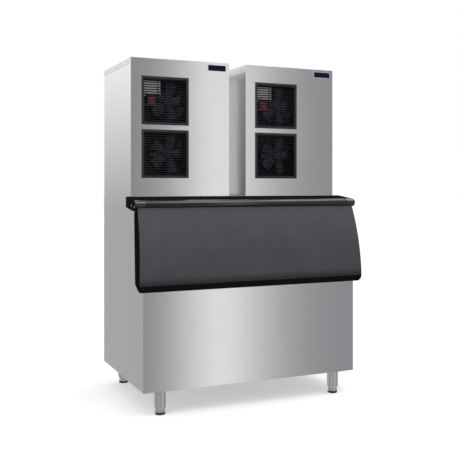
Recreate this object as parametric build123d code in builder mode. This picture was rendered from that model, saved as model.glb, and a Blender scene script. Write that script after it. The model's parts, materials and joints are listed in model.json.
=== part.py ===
from build123d import *
from math import atan, cos, degrees, radians, sin, tan
import os

# Crescent ice maker: two ice-making heads side by side on one insulated storage bin.
# Millimetres, +Z up, +X to the right as seen from the front, and the front towards -Y.
# The origin is on the floor, in the middle of the machine's bounding box.

# Storage bin
bin_width = 1220.0
bin_depth = 780.0
bin_bottom = 125.0
bin_top = 1100.0
skin = 1.2
wall = 50.0
floor_wall = 60.0
liner = 3.0
liner_corner = 20.0
liner_floor_corner = 8.0

# Sloping mouth of the bin
sill_height = 640.0
sill_rise = 28.0
mouth_lean = 95.0
jamb = 54.0

# Insulated top, with a lower step in front that carries the hood
deck = 40.0
hood_height = 56.0
hood_depth = 200.0
hood_wall = 3.0
hood_bays = 6
hood_edge = 4.0
rear_reach = 40.0

# Door barrel and its hinge
barrel_radius = 21.0
barrel_back = 50.0
barrel_drop = 38.0
barrel_gap = 2.0
knuckle = 57.0
knuckle_gap = 1.0
hood_overhang = 34.0
pin_radius = 8.0
pin_grip = 30.0
pin_end_gap = 2.0
cap_edge = 5.0
cap_tuck = 8.0
running_fit = 0.05

# Door: a pressed shell that slopes outwards and curls under at its lower lip
door_reach = 42.0
lip_radius = 48.0
lip_rise = 28.0
lip_end_angle = 240.0
face_top_angle = 235.0
door_wall = 4.0
overhang_top = 20.0
overhang_bottom = 33.0
cheek_top = 1026.0
cheek_knee = 83.0
cheek_back_top = 92.0
cheek_back_bottom = 32.0
cheek_rise = 24.0
cheek_toe_rise = 5.0
cheek_toe_reach = 8.0
door_corner = 20.0
door_panel = 3.0
panel_lip_turn = 6.0
panel_clearance = 2.0
gasket = 12.0
gasket_width = 20.0
gasket_side = 12.0
gasket_low = 5.0
gasket_high = 6.0
seat_gap = 0.3

# Legs and levelling feet
leg_inset_x = 104.0
leg_inset_y = 50.0
leg_radius = 31.5
leg_wall = 2.0
leg_plate = 80.0
leg_plate_thickness = 4.0
leg_plate_corner = 8.0
thread_grip = 20.0
foot_radius = 27.0
foot_show = 38.0
foot_clearance = 1.0
pad_height = 11.0
pad_taper = 2.0
pad_step = 0.5
stem_radius = 8.0
foot_up = 8.0
foot_down = 22.0
leg_boss = foot_up + foot_down + thread_grip

# Ice-making heads
head_width = 560.0
head_depth = 560.0
head_height = 730.0
sheet = 1.2
return_width = 30.0
front_shadow = 0.5
bay_width = 345.0
pan_height = 25.0
top_clear = 40.0
partition_fold = 8.0

# Grilles
grille_left = 58.0
grille_width = 264.0
grille_height = 257.0
grille_low = 97.0
grille_high = 379.0
grille_border = 14.0
grille_lap = 6.0
grille_proud = 2.5
grille_deep = 12.0
slat_count = 18
slat_thickness = 2.2
slat_chord = 9.0
slat_tilt = 25.0
slat_forward = 1.0
grille_chamfer = 1.5
mullion = 3.0

# Fans, their shroud and motors
fan_x = 222.0
fan_radius = 100.0
fan_tip_gap = 4.0
fan_hub_radius = 26.0
fan_depth = 26.0
hub_edge = 5.0
blade_count = 5
blade_thickness = 1.6
blade_chord_root = 46.0
blade_chord_tip = 78.0
blade_pitch_root = 38.0
blade_pitch_tip = 20.0
blade_camber = 0.06
blade_root_sink = 4.0
blade_tip_trim = 6.0
shroud_back = 74.0
shroud_sheet = 1.5
shroud_ring = 26.0
shroud_foot = 20.0
motor_radius = 34.0
motor_length = 58.0
shaft_radius = 4.0
strap_width = 24.0
strap = 3.0
strap_lap = 8.0
shaft_short = 4.0

# Machinery behind the shroud
condenser_front = 150.0
condenser_depth = 44.0
condenser_width = 270.0
condenser_height = 610.0
condenser_left = 40.0
tube_radius = 5.0
tube_pitch = 50.0
return_bend = 16.0
compressor_radius = 78.0
compressor_height = 215.0
compressor_x = 170.0
compressor_back = 400.0
compressor_foot = 14.0
compressor_foot_lap = 10.0
compressor_foot_corner = 20.0
terminal_level = 0.45
dome_start = 0.62
dome_middle = 0.9
dome_narrowing = 0.78
terminal_width = 54.0
terminal_height = 50.0
terminal_corner = 6.0
terminal_reach = 26.0
terminal_sink = 8.0
suction_stub_radius = 7.0
suction_stub_across = 30.0
suction_stub_forward = 20.0
suction_stub_start = 0.7
suction_stub_share = 0.45

# Control box and its contactor, seen through the upper grille
box_front = 17.0
box_width = 166.0
box_depth = 26.0
box_low = 542.0
box_height = 70.0
box_corner = 3.0
box_lid = 2.0
box_lid_border = 5.0
contactor_left = 100.0
contactor_width = 42.0
contactor_depth = 20.0
contactor_height = 44.0
contactor_drop = 14.0
contactor_plate = 3.0
contactor_step = 6.0

# Ice side: chute, water trough, guide and evaporator
chute_front = 50.0
chute_depth = 160.0
chute_width = 140.0
chute_side_gap = 11.0
chute_collar = 14.0
deck_clearance = 6.0
trough_back = 520.0
trough_front = 230.0
trough_height = 130.0
trough_wall = 3.0
pump_radius = 26.0
pump_height = 90.0
evaporator_front = 235.0
evaporator_depth = 255.0
evaporator_low = 340.0
evaporator_height = 290.0
plate_thickness = 3.0
freezer_tubes = 7
freezer_tube_radius = 5.5
freezer_tube_reach = 8.0
freezer_bracket_inset = 20.0
freezer_bracket_half = 8.0
spreader_radius = 12.0
spreader_drop = 4.0
trough_corner = 12.0
pump_gap = 4.0
pump_neck = 0.55
guide_slats = 12
guide_rise = 90.0
guide_rail = 4.0
guide_start = 14.0
guide_inset = 6.0
guide_short = 60.0
guide_slat_thickness = 3.0
guide_slat_drop = 4.0
guide_slat_share = 0.6

# Rear connections
inlet_radius = 13.0
inlet_height = 620.0
outlet_height = 70.0
gland_radius = 14.0
stub_reach = 30.0
stub_bore = 9.0
water_across = 100.0
nut_thickness = 5.0
nut_lap = 6.0
drain_radius = 16.0
drain_bore = 12.0
flange_thickness = 6.0
flange_lap = 8.0
drain_height = 204.0
vent_rows = 12
vent_height = 9.0
vent_width = 110.0
vent_pitch = 24.0
vent_low = 330.0

# Places that follow from the sizes above
overall_depth = door_reach + bin_depth + rear_reach
bin_front = -overall_depth / 2 + door_reach
bin_back = bin_front + bin_depth
half = bin_width / 2
inner = half - skin
mouth_top = bin_top - hood_height
sill_top = sill_height + sill_rise
lip_height = sill_height + lip_rise
cheek_bottom = sill_height + cheek_rise
cheek_toe = sill_height + cheek_toe_rise
mouth_slope = mouth_lean / (mouth_top - sill_height)
mouth_angle = atan(mouth_slope)
header_low = mouth_top - deck
cavity_half = half - jamb
cavity_floor = bin_bottom + floor_wall
axis_height = bin_top - barrel_drop
barrel_top = axis_height + barrel_radius
end_half = half + hood_overhang
barrel_half = end_half - knuckle - knuckle_gap
head_front = bin_back - head_depth
head_places = {"left": -half, "right": half - head_width}
leg_places = {
    "front_left": (-half + leg_inset_x, bin_front + leg_inset_y),
    "front_right": (half - leg_inset_x, bin_front + leg_inset_y),
    "rear_left": (-half + leg_inset_x, bin_back - leg_inset_y),
    "rear_right": (half - leg_inset_x, bin_back - leg_inset_y),
}
chute_left = bay_width + chute_side_gap
fan_heights = (grille_low + grille_height / 2, grille_high + grille_height / 2)


def save(piece, name):
    """Label a finished piece and write it to its own file."""
    piece.label = name
    export_step(piece, f"parts/{name}.step")


def mouth_back(height, out=0.0):
    """How far behind the bin's front the mouth's plane is, or a plane that far outside it."""
    return mouth_slope * (height - sill_height) - out / cos(mouth_angle)


def side_plane(x):
    """Side view at x: first axis is the distance behind the bin's front, second is height."""
    return Plane(origin=(x, bin_front, 0), x_dir=(0, 1, 0), z_dir=(1, 0, 0))


def slab(points, x_low, x_high):
    """A prism with a side-view outline, from one x to another."""
    with BuildPart() as prism:
        with BuildSketch(side_plane(x_low)):
            with BuildLine():
                Polyline(*points, close=True)
            make_face()
        extrude(amount=x_high - x_low)
    return prism.part


# Storage bin skin

def bin_side(x_low):
    """Side sheet, cut to the mouth's slope and stepped under the hood."""
    outline = [
        (0, bin_bottom),
        (0, sill_height),
        (mouth_lean, mouth_top),
        (hood_depth, mouth_top),
        (hood_depth, bin_top),
        (bin_depth, bin_top),
        (bin_depth, bin_bottom),
    ]
    return slab(outline, x_low, x_low + skin)


def bin_front_panel():
    """Front sheet, bent back along the mouth's slope and over the sill."""
    lean = mouth_back(sill_top)
    outline = [
        (0, bin_bottom),
        (0, sill_height),
        (lean, sill_top),
        (wall - liner, sill_top),
        (wall - liner, sill_top - skin),
        (lean + skin, sill_top - skin),
        (skin, sill_height),
        (skin, bin_bottom),
    ]
    return slab(outline, -inner, inner)


def bin_base_panel():
    """Bottom sheet between the side, front and back sheets."""
    outline = [
        (skin, bin_bottom),
        (skin, bin_bottom + skin),
        (bin_depth - skin, bin_bottom + skin),
        (bin_depth - skin, bin_bottom),
    ]
    return slab(outline, -inner, inner)


def bin_back_panel():
    """Back sheet with the hole that the drain passes through."""
    with BuildPart() as panel:
        with BuildSketch(Plane.XZ.offset(-bin_back)):
            with Locations((0, (bin_bottom + bin_top) / 2)):
                Rectangle(2 * inner, bin_top - bin_bottom)
            with Locations((0, drain_height)):
                Circle(drain_radius + seat_gap, mode=Mode.SUBTRACT)
        extrude(amount=skin)
    return panel.part


def cavity_outline(back_in, floor_up):
    """Side view of the space cut out of the bin, open through the mouth."""
    return [
        (back_in, floor_up),
        (back_in, sill_top - skin),
        (-wall, sill_top - skin),
        (-wall, bin_top + deck),
        (bin_depth - back_in, bin_top + deck),
        (bin_depth - back_in, floor_up),
    ]


def bin_insulation():
    """Foam between the skin and the liner."""
    lean = mouth_back(sill_top - skin, -liner)
    outline = [
        (skin, bin_bottom + skin),
        (skin, sill_height),
        (lean, sill_top - skin),
        (mouth_back(header_low, -liner), header_low),
        (hood_depth + deck, header_low),
        (hood_depth + deck, bin_top - deck),
        (bin_depth - skin, bin_top - deck),
        (bin_depth - skin, bin_bottom + skin),
    ]
    cavity = slab(
        cavity_outline(wall - liner, cavity_floor - liner), -cavity_half - liner, cavity_half + liner
    )
    sill_slot = [
        (-wall, sill_top - skin),
        (-wall, sill_top),
        (wall - liner, sill_top),
        (wall - liner, sill_top - skin),
    ]
    with BuildPart() as foam:
        add(slab(outline, -inner, inner))
        add(cavity, mode=Mode.SUBTRACT)
        add(slab(sill_slot, -inner, inner), mode=Mode.SUBTRACT)
        with BuildSketch(Plane.XZ.offset(-bin_back)):
            with Locations((0, drain_height)):
                Circle(drain_radius + seat_gap)
        extrude(amount=2 * wall, mode=Mode.SUBTRACT)
    return foam.part


def bin_liner():
    """Moulded tub with round inside corners, and jambs that face the mouth on both sides."""
    lean = mouth_back(sill_top)
    walls = [
        (wall - liner, cavity_floor - liner),
        (wall - liner, sill_top),
        (lean, sill_top),
        (mouth_back(header_low), header_low),
        (hood_depth + deck, header_low),
        (hood_depth + deck, bin_top - deck),
        (bin_depth - wall + liner, bin_top - deck),
        (bin_depth - wall + liner, cavity_floor - liner),
    ]
    jamb_face = [
        (lean, sill_top),
        (mouth_back(header_low), header_low),
        (mouth_back(header_low, -liner), header_low),
        (mouth_back(sill_top, -liner), sill_top),
    ]
    tub_depth = bin_depth - 2 * wall
    with BuildPart() as hollow:
        with BuildSketch(Plane.XY.offset(cavity_floor)):
            with Locations((0, bin_front + bin_depth / 2)):
                RectangleRounded(2 * cavity_half, tub_depth, liner_corner)
        extrude(amount=bin_top - cavity_floor)
        fillet(hollow.faces().sort_by(Axis.Z)[0].edges(), liner_floor_corner)
        with BuildSketch(side_plane(-cavity_half)):
            with BuildLine():
                Polyline(
                    (-wall, sill_top),
                    (-wall, bin_top),
                    (wall + liner_corner, bin_top),
                    (wall + liner_corner, sill_top),
                    close=True,
                )
            make_face()
        extrude(amount=2 * cavity_half)
    with BuildPart() as tub:
        add(slab(walls, -cavity_half - liner, cavity_half + liner))
        add(slab(jamb_face, -inner, -cavity_half))
        add(slab(jamb_face, cavity_half, inner))
        add(hollow.part, mode=Mode.SUBTRACT)
        with BuildSketch(Plane.XZ.offset(-bin_back)):
            with Locations((0, drain_height)):
                Circle(drain_radius + seat_gap)
        extrude(amount=wall + liner, mode=Mode.SUBTRACT)
    return tub.part


def bin_deck():
    """Insulated top with a lower beam over the mouth and a chute opening under each head."""
    outline = [
        (mouth_back(header_low), header_low),
        (mouth_lean, mouth_top),
        (hood_depth, mouth_top),
        (hood_depth, bin_top),
        (bin_depth - skin, bin_top),
        (bin_depth - skin, bin_top - deck),
        (hood_depth + deck, bin_top - deck),
        (hood_depth + deck, header_low),
    ]
    with BuildPart() as top:
        add(slab(outline, -inner, inner))
        with BuildSketch(Plane.XY.offset(bin_top - deck)):
            for head_x in head_places.values():
                middle_x = head_x + chute_left + chute_width / 2
                middle_y = head_front + chute_front + chute_depth / 2
                with Locations((middle_x, middle_y)):
                    RectangleRounded(
                        chute_width + 2 * deck_clearance,
                        chute_depth + 2 * deck_clearance,
                        deck_clearance,
                    )
        extrude(amount=deck, mode=Mode.SUBTRACT)
    return top.part


def drain_fitting():
    """Drain tube from the tub's floor line out through the back, with its locking flange."""
    with BuildPart() as fitting:
        with BuildSketch(Plane.XZ.offset(-bin_back - rear_reach)):
            with Locations((0, drain_height)):
                Circle(drain_radius)
        extrude(amount=rear_reach + wall)
        with BuildSketch(Plane.XZ.offset(-bin_back - flange_thickness)):
            with Locations((0, drain_height)):
                RegularPolygon(drain_radius + flange_lap, 6)
        extrude(amount=flange_thickness)
        with BuildSketch(Plane.XZ.offset(-bin_back - rear_reach)):
            with Locations((0, drain_height)):
                Circle(drain_bore)
        extrude(amount=rear_reach + wall, mode=Mode.SUBTRACT)
    return fitting.part


# Hood and hinge

def hood_top(back):
    """Height of the hood's top, which falls from the heads to the top of the barrel."""
    share = (back - barrel_back) / (hood_depth - barrel_back)
    return barrel_top + share * (bin_top - barrel_top)


def hood():
    """Moulded cover behind the barrel: hollow below, ribbed, with a trough that clears the barrel."""
    clear = barrel_radius + barrel_gap
    front = barrel_back + clear * cos(radians(45))
    pocket_front = barrel_back + clear + hood_wall
    pocket_back = hood_depth - hood_wall
    pocket = [
        (pocket_front, mouth_top),
        (pocket_front, hood_top(pocket_front) - hood_wall),
        (pocket_back, hood_top(pocket_back) - hood_wall),
        (pocket_back, mouth_top),
    ]
    reach = end_half - knuckle - knuckle_gap
    bay_pitch = 2 * reach / hood_bays
    with BuildPart() as cover:
        with BuildSketch(side_plane(-reach)):
            with BuildLine():
                Polyline(
                    (front, mouth_top),
                    (front, hood_top(front)),
                    (hood_depth, bin_top),
                    (hood_depth, mouth_top),
                    close=True,
                )
            make_face()
            with Locations((barrel_back, axis_height)):
                Circle(clear, mode=Mode.SUBTRACT)
        extrude(amount=2 * reach)
        rear_top = cover.edges().filter_by(Axis.X).sort_by(Axis.Z)[-1]
        fillet(rear_top, hood_edge)
        for bay in range(hood_bays):
            start = -reach + bay * bay_pitch
            add(slab(pocket, start + hood_wall / 2, start + bay_pitch - hood_wall / 2), mode=Mode.SUBTRACT)
    return cover.part


def hinge_end():
    """End cap: a fixed knuckle in line with the barrel, and a cheek plate down the bin's side."""
    inside = barrel_half + knuckle_gap
    skirt_start = half
    with BuildPart() as cap:
        with BuildSketch(side_plane(inside)):
            with Locations((barrel_back, axis_height)):
                Circle(barrel_radius)
            with BuildLine():
                Polyline(
                    (barrel_back, barrel_top),
                    (hood_depth, bin_top),
                    (hood_depth, mouth_top),
                    (mouth_lean, mouth_top),
                    (barrel_back, axis_height - barrel_radius),
                    close=True,
                )
            make_face()
        extrude(amount=end_half - inside)
        with BuildSketch(side_plane(skirt_start)):
            with BuildLine():
                Polyline(
                    (hood_depth, mouth_top),
                    (cheek_knee, cheek_top + barrel_gap),
                    (barrel_back, axis_height - barrel_radius),
                    (mouth_lean, mouth_top + cap_tuck),
                    close=True,
                )
            make_face()
        extrude(amount=end_half - skirt_start)
        outer = cap.faces().sort_by(Axis.X)[-1]
        fillet(outer.edges(), cap_edge)
        with Locations(side_plane(inside)):
            with Locations((barrel_back, axis_height)):
                Hole(pin_radius, depth=pin_grip)
    return cap.part


def hinge_pins():
    """Two pins, each gripped in an end cap and running in the end of the barrel."""
    with BuildPart() as pins:
        for side in (-1, 1):
            middle = side * (barrel_half + knuckle_gap)
            with BuildSketch(side_plane(middle - pin_grip + pin_end_gap)):
                with Locations((barrel_back, axis_height)):
                    Circle(pin_radius)
            extrude(amount=2 * (pin_grip - pin_end_gap))
    return pins.part


# Door

def lip_point(radius, angle):
    """A point on the lip's curl, seen from the side."""
    turn = radians(angle)
    return (-door_reach + lip_radius + radius * cos(turn), lip_height + radius * sin(turn))


def face_line(depth, top):
    """Side view of the door's face: one long bow, upright at its foot, that runs into the curled lip."""
    knee = lip_point(lip_radius - depth, 180.0)
    front = lip_point(lip_radius - depth, 210.0)
    end = lip_point(lip_radius - depth, lip_end_angle)
    bow = TangentArc(knee, top, tangent=(0, 1))
    curl = ThreePointArc(knee, front, end)
    return bow, curl, end


def door_front_view(inset):
    """Front view of the door: a little wider at the bottom, with round lower corners."""
    high = bin_top
    flare = (overhang_bottom - overhang_top) / (mouth_top - cheek_bottom)
    top_half = half + overhang_top - flare * (high - mouth_top) - inset
    low_edge = lip_point(lip_radius, lip_end_angle)[1] + inset - seat_gap
    low_half = half + overhang_bottom + flare * (cheek_bottom - low_edge) - inset
    with BuildSketch(Plane.XZ.offset(overall_depth)) as view:
        with BuildLine():
            Polyline(
                (-top_half, high),
                (top_half, high),
                (low_half, low_edge),
                (-low_half, low_edge),
                close=True,
            )
        make_face()
        lower = view.vertices().group_by(Axis.Y)[0]
        fillet(lower, door_corner - inset)
    with BuildPart() as prism:
        extrude(view.sketch, amount=-2 * overall_depth)
    return prism.part


def door_shell():
    """Pressed shell: bowed face, curled lip, two cheeks and the barrel along its top."""
    top_turn = radians(face_top_angle)
    top_front = (barrel_back + barrel_radius * cos(top_turn), axis_height + barrel_radius * sin(top_turn))
    top_inside = (top_front[0], top_front[1] - 3 * door_wall)
    top_back = (barrel_back + 2 * door_wall, axis_height - barrel_radius - 2 * barrel_gap - door_wall / 2)
    reach = half + overhang_bottom + door_corner
    inner_block = door_front_view(door_wall)
    outer_block = door_front_view(0.0)

    with BuildPart() as hollow:
        with BuildSketch(side_plane(-reach)):
            with BuildLine():
                bow, curl, end = face_line(door_wall, top_inside)
                Polyline(
                    end,
                    (bin_depth, end[1]),
                    (bin_depth, cheek_top - door_wall),
                    (cheek_knee, cheek_top - door_wall),
                    top_inside,
                )
            make_face()
        extrude(amount=2 * reach)
        panel_front = gasket + door_panel + 2 * seat_gap
        with BuildSketch(side_plane(-reach)):
            with BuildLine():
                Polyline(
                    (mouth_back(sill_height - wall, panel_front), sill_height - wall),
                    (mouth_back(bin_top, panel_front), bin_top),
                    (bin_depth, bin_top),
                    (bin_depth, sill_height - wall),
                    close=True,
                )
            make_face()
        extrude(amount=2 * reach)
        add(inner_block, mode=Mode.INTERSECT)

    with BuildPart() as shell:
        with BuildSketch(side_plane(-reach)):
            with BuildLine():
                bow, curl, end = face_line(0.0, top_front)
                Polyline(
                    end,
                    (-cheek_toe_reach, cheek_toe),
                    (cheek_back_bottom, cheek_bottom),
                    (cheek_back_top, cheek_top),
                    (cheek_knee, cheek_top),
                    top_back,
                    top_front,
                )
            make_face()
        extrude(amount=2 * reach)
        add(outer_block, mode=Mode.INTERSECT)
        add(hollow.part, mode=Mode.SUBTRACT)
        with BuildSketch(side_plane(-barrel_half)):
            with Locations((barrel_back, axis_height)):
                Circle(barrel_radius)
            with Locations((barrel_back, axis_height - barrel_radius)):
                Rectangle(door_wall, 3 * door_wall)
        extrude(amount=2 * barrel_half)
        for side in (-1, 1):
            start = -barrel_half if side < 0 else barrel_half - pin_grip
            with BuildSketch(side_plane(start)):
                with Locations((barrel_back, axis_height)):
                    Circle(pin_radius + running_fit)
            extrude(amount=pin_grip, mode=Mode.SUBTRACT)
            outside = -reach if side < 0 else barrel_half
            with BuildSketch(side_plane(outside)):
                with Locations((barrel_back, axis_height)):
                    Circle(barrel_radius + 3 * barrel_gap)
            extrude(amount=reach - barrel_half, mode=Mode.SUBTRACT)
    return shell.part


def panel_line():
    """Side view of the inner panel's line: along the mouth, bent forward to the lip and face."""
    low = lip_point(lip_radius - door_wall - door_panel / 2 - seat_gap, lip_end_angle - panel_lip_turn)
    foot = cheek_toe + panel_clearance
    head = cheek_top - door_wall - seat_gap - 2 * panel_clearance
    return [
        low,
        (mouth_back(foot, gasket + seat_gap) - panel_clearance, foot),
        (mouth_back(head, gasket + seat_gap), head),
    ]


def door_inner_panel():
    """Formed panel that closes the back of the door and carries the seal."""
    inset = door_wall + seat_gap
    with BuildPart() as panel:
        with BuildSketch(side_plane(-bin_width)):
            with BuildLine():
                line = Polyline(*panel_line())
                offset(line, amount=door_panel, side=Side.LEFT)
            make_face()
        extrude(amount=2 * bin_width)
        add(door_front_view(inset), mode=Mode.INTERSECT)
    return panel.part


def door_gasket():
    """Rubber frame between the inner panel and the mouth."""
    low = sill_height + gasket_low
    high = cheek_top - door_wall - gasket_high
    along = (high - low) / cos(mouth_angle)
    middle = (low + high) / 2
    seal_y = bin_front + mouth_back(middle, gasket + seat_gap)
    tilt = degrees(mouth_angle)
    plane = Plane(
        origin=(0, seal_y, middle),
        x_dir=(1, 0, 0),
        z_dir=(0, cos(radians(tilt)), -sin(radians(tilt))),
    )
    seal_half = half - gasket_side
    with BuildPart() as seal:
        with BuildSketch(plane):
            RectangleRounded(2 * seal_half, along, gasket_width / 2)
            RectangleRounded(
                2 * (seal_half - gasket_width), along - 2 * gasket_width, gasket_width / 4,
                mode=Mode.SUBTRACT,
            )
        extrude(amount=gasket)
    return seal.part


# Legs

def leg(x, y):
    """Round leg tube under a fixing plate, with a threaded boss for the foot's stem."""
    with BuildPart() as tube:
        with BuildSketch(Plane.XY.offset(foot_show)):
            with Locations((x, y)):
                Circle(leg_radius)
        extrude(amount=bin_bottom - foot_show)
        with BuildSketch(Plane.XY.offset(bin_bottom - leg_plate_thickness)):
            with Locations((x, y)):
                RectangleRounded(leg_plate, leg_plate, leg_plate_corner)
        extrude(amount=leg_plate_thickness)
        with BuildSketch(Plane.XY.offset(foot_show)):
            with Locations((x, y)):
                Circle(leg_radius - leg_wall)
        boss_low = bin_bottom - leg_boss
        extrude(amount=boss_low - foot_show, mode=Mode.SUBTRACT)
        with BuildSketch(Plane.XY.offset(boss_low)):
            with Locations((x, y)):
                Circle(stem_radius + running_fit)
        extrude(amount=leg_boss - leg_plate_thickness, mode=Mode.SUBTRACT)
    return tube.part


def foot(x, y):
    """Levelling foot: rubber pad, round body that slides up inside the leg, and its stem."""
    body_top = bin_bottom - leg_boss - foot_up - foot_clearance
    stem_top = bin_bottom - leg_plate_thickness - foot_up - foot_clearance
    with BuildPart() as stand:
        with BuildSketch(Plane.XZ.offset(-y)):
            with BuildLine():
                Polyline(
                    (x, 0),
                    (x + foot_radius - pad_taper, 0),
                    (x + foot_radius - pad_step, 2 * pad_taper),
                    (x + foot_radius - pad_step, pad_height),
                    (x + foot_radius, pad_height + pad_step),
                    (x + foot_radius, body_top),
                    (x + stem_radius, body_top),
                    (x + stem_radius, stem_top),
                    (x, stem_top),
                    close=True,
                )
            make_face()
        revolve(axis=Axis((x, y, 0), (0, 0, 1)))
    return stand.part


# Head planes

def flat(head_x, height):
    """Plan view of a head: from its left side and front, at a height above its base."""
    return Plane(origin=(head_x, head_front, bin_top + height))


def upright(head_x, back):
    """Front view of a head, at a distance behind its front."""
    return Plane(origin=(head_x, head_front + back, bin_top), x_dir=(1, 0, 0), z_dir=(0, -1, 0))


def side_on(head_x, across):
    """Side view of a head, at a distance from its left side: distance back, then height."""
    return Plane(origin=(head_x + across, head_front, bin_top), x_dir=(0, 1, 0), z_dir=(1, 0, 0))


def block(plane, low, high, thickness, mode=Mode.ADD):
    """Draw a rectangle between two corners and pull it out of its plane."""
    with BuildSketch(plane) as outline:
        with Locations(((low[0] + high[0]) / 2, (low[1] + high[1]) / 2)):
            Rectangle(high[0] - low[0], high[1] - low[1])
    extrude(outline.sketch, amount=thickness, mode=mode)


# Head casing

def base_pan(head_x):
    """Tray with raised edges and a collared chute opening."""
    edge = 2 * sheet
    inner_low = (edge + sheet, 2 * sheet)
    inner_high = (head_width - edge - sheet, head_depth - edge - sheet)
    with BuildPart() as tray:
        block(flat(head_x, 0), (edge, sheet), (head_width - edge, head_depth - edge), pan_height)
        block(flat(head_x, sheet), inner_low, inner_high, pan_height, Mode.SUBTRACT)
        with BuildSketch(flat(head_x, 0)):
            with Locations((chute_left + chute_width / 2, chute_front + chute_depth / 2)):
                RectangleRounded(chute_width + 2 * sheet, chute_depth + 2 * sheet, deck_clearance)
        extrude(amount=chute_collar)
        with BuildSketch(flat(head_x, 0)):
            with Locations((chute_left + chute_width / 2, chute_front + chute_depth / 2)):
                RectangleRounded(chute_width, chute_depth, deck_clearance - sheet)
        extrude(amount=chute_collar, mode=Mode.SUBTRACT)
    return tray.part


def cabinet(head_x):
    """Folded wrapper: both sides and the vented back, with the rear connections fixed in it."""
    high = head_height - sheet
    with BuildPart() as wrapper:
        with BuildSketch(flat(head_x, 0)):
            with BuildLine():
                line = Polyline(
                    (sheet, sheet),
                    (sheet, head_depth - sheet),
                    (head_width - sheet, head_depth - sheet),
                    (head_width - sheet, sheet),
                )
                offset(line, amount=sheet, side=Side.RIGHT)
            make_face()
        extrude(amount=high)
        with BuildSketch(upright(head_x, head_depth)):
            with Locations((bay_width / 2, vent_low + vent_rows * vent_pitch / 2)):
                with GridLocations(vent_width + vent_pitch, vent_pitch, 2, vent_rows):
                    Rectangle(vent_width, vent_height)
        extrude(amount=2 * sheet, mode=Mode.SUBTRACT)
        places = (
            (bay_width + water_across, inlet_height, inlet_radius),
            (bay_width + water_across, outlet_height, inlet_radius),
            (bay_width / 2, outlet_height, gland_radius),
        )
        for across, height, radius in places:
            with BuildSketch(upright(head_x, head_depth + stub_reach)):
                with Locations((across, height)):
                    Circle(radius)
            extrude(amount=stub_reach + sheet)
            with BuildSketch(upright(head_x, head_depth + nut_thickness - sheet)):
                with Locations((across, height)):
                    RegularPolygon(radius + nut_lap, 6)
            extrude(amount=nut_thickness)
            with BuildSketch(upright(head_x, head_depth + stub_reach)):
                with Locations((across, height)):
                    Circle(stub_bore)
            extrude(amount=stub_reach - nut_thickness, mode=Mode.SUBTRACT)
    return wrapper.part


def front_panel(head_x):
    """Front sheet with two grille openings and side returns."""
    high = head_height - sheet
    return_high = head_height - return_width - front_shadow
    with BuildPart() as panel:
        block(upright(head_x, sheet), (0, 0), (head_width, high), sheet)
        block(side_on(head_x, 0), (sheet, 0), (return_width, return_high), sheet)
        block(side_on(head_x, head_width - sheet), (sheet, 0), (return_width, return_high), sheet)
        with BuildSketch(upright(head_x, sheet)):
            for low in (grille_low, grille_high):
                with Locations((grille_left + grille_width / 2, low + grille_height / 2)):
                    Rectangle(grille_width - 2 * grille_lap, grille_height - 2 * grille_lap)
        extrude(amount=sheet, mode=Mode.SUBTRACT)
    return panel.part


def top_panel(head_x):
    """Lid with its edges folded down over the sides and the back."""
    with BuildPart() as lid:
        block(flat(head_x, head_height - sheet), (0, 0), (head_width, head_depth), sheet)
        low = head_height - return_width
        fold = return_width - sheet
        block(flat(head_x, low), (0, 0), (sheet, head_depth), fold)
        block(flat(head_x, low), (head_width - sheet, 0), (head_width, head_depth), fold)
        block(flat(head_x, low), (sheet, head_depth - sheet), (head_width - sheet, head_depth), fold)
        with BuildSketch(upright(head_x, sheet)):
            for across in (sheet / 2, head_width - sheet / 2):
                with Locations((across, head_height / 2)):
                    Rectangle(sheet, head_height - 2 * sheet)
        extrude(amount=sheet, mode=Mode.SUBTRACT)
    return lid.part


# Grilles

def grille(head_x, low):
    """Moulded grille: proud frame, tilted slats between its sides, and two upright mullions."""
    middle = (grille_left + grille_width / 2, low + grille_height / 2)
    clear_width = grille_width - 2 * grille_border
    clear_height = grille_height - 2 * grille_border
    plug_width = grille_width - 2 * grille_lap - 2 * seat_gap
    plug_height = grille_height - 2 * grille_lap - 2 * seat_gap
    pitch = clear_height / slat_count
    with BuildPart() as slats:
        for index in range(slat_count):
            centre = low + grille_border + (index + 0.5) * pitch
            with BuildSketch(side_on(head_x, grille_left + grille_border)):
                with Locations(Location((grille_deep / 2 - slat_forward, centre), -slat_tilt)):
                    Rectangle(slat_chord, slat_thickness)
            extrude(amount=clear_width)
    with BuildPart() as frame:
        with BuildSketch(upright(head_x, 0)):
            with Locations(middle):
                Rectangle(grille_width, grille_height)
        extrude(amount=grille_proud)
        chamfer(frame.faces().sort_by(Axis.Y)[0].edges(), grille_chamfer)
        with BuildSketch(upright(head_x, grille_deep)):
            with Locations(middle):
                Rectangle(plug_width, plug_height)
        extrude(amount=grille_deep)
        with BuildSketch(upright(head_x, grille_deep)):
            with Locations(middle):
                Rectangle(clear_width, clear_height)
        extrude(amount=grille_deep + grille_proud, mode=Mode.SUBTRACT)
        with BuildSketch(upright(head_x, grille_deep)):
            with Locations(middle):
                with GridLocations(clear_width / 3, 0, 2, 1):
                    Rectangle(mullion, clear_height)
        extrude(amount=mullion)
        add(slats.part)
    return frame.part


# Air side of a head

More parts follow.
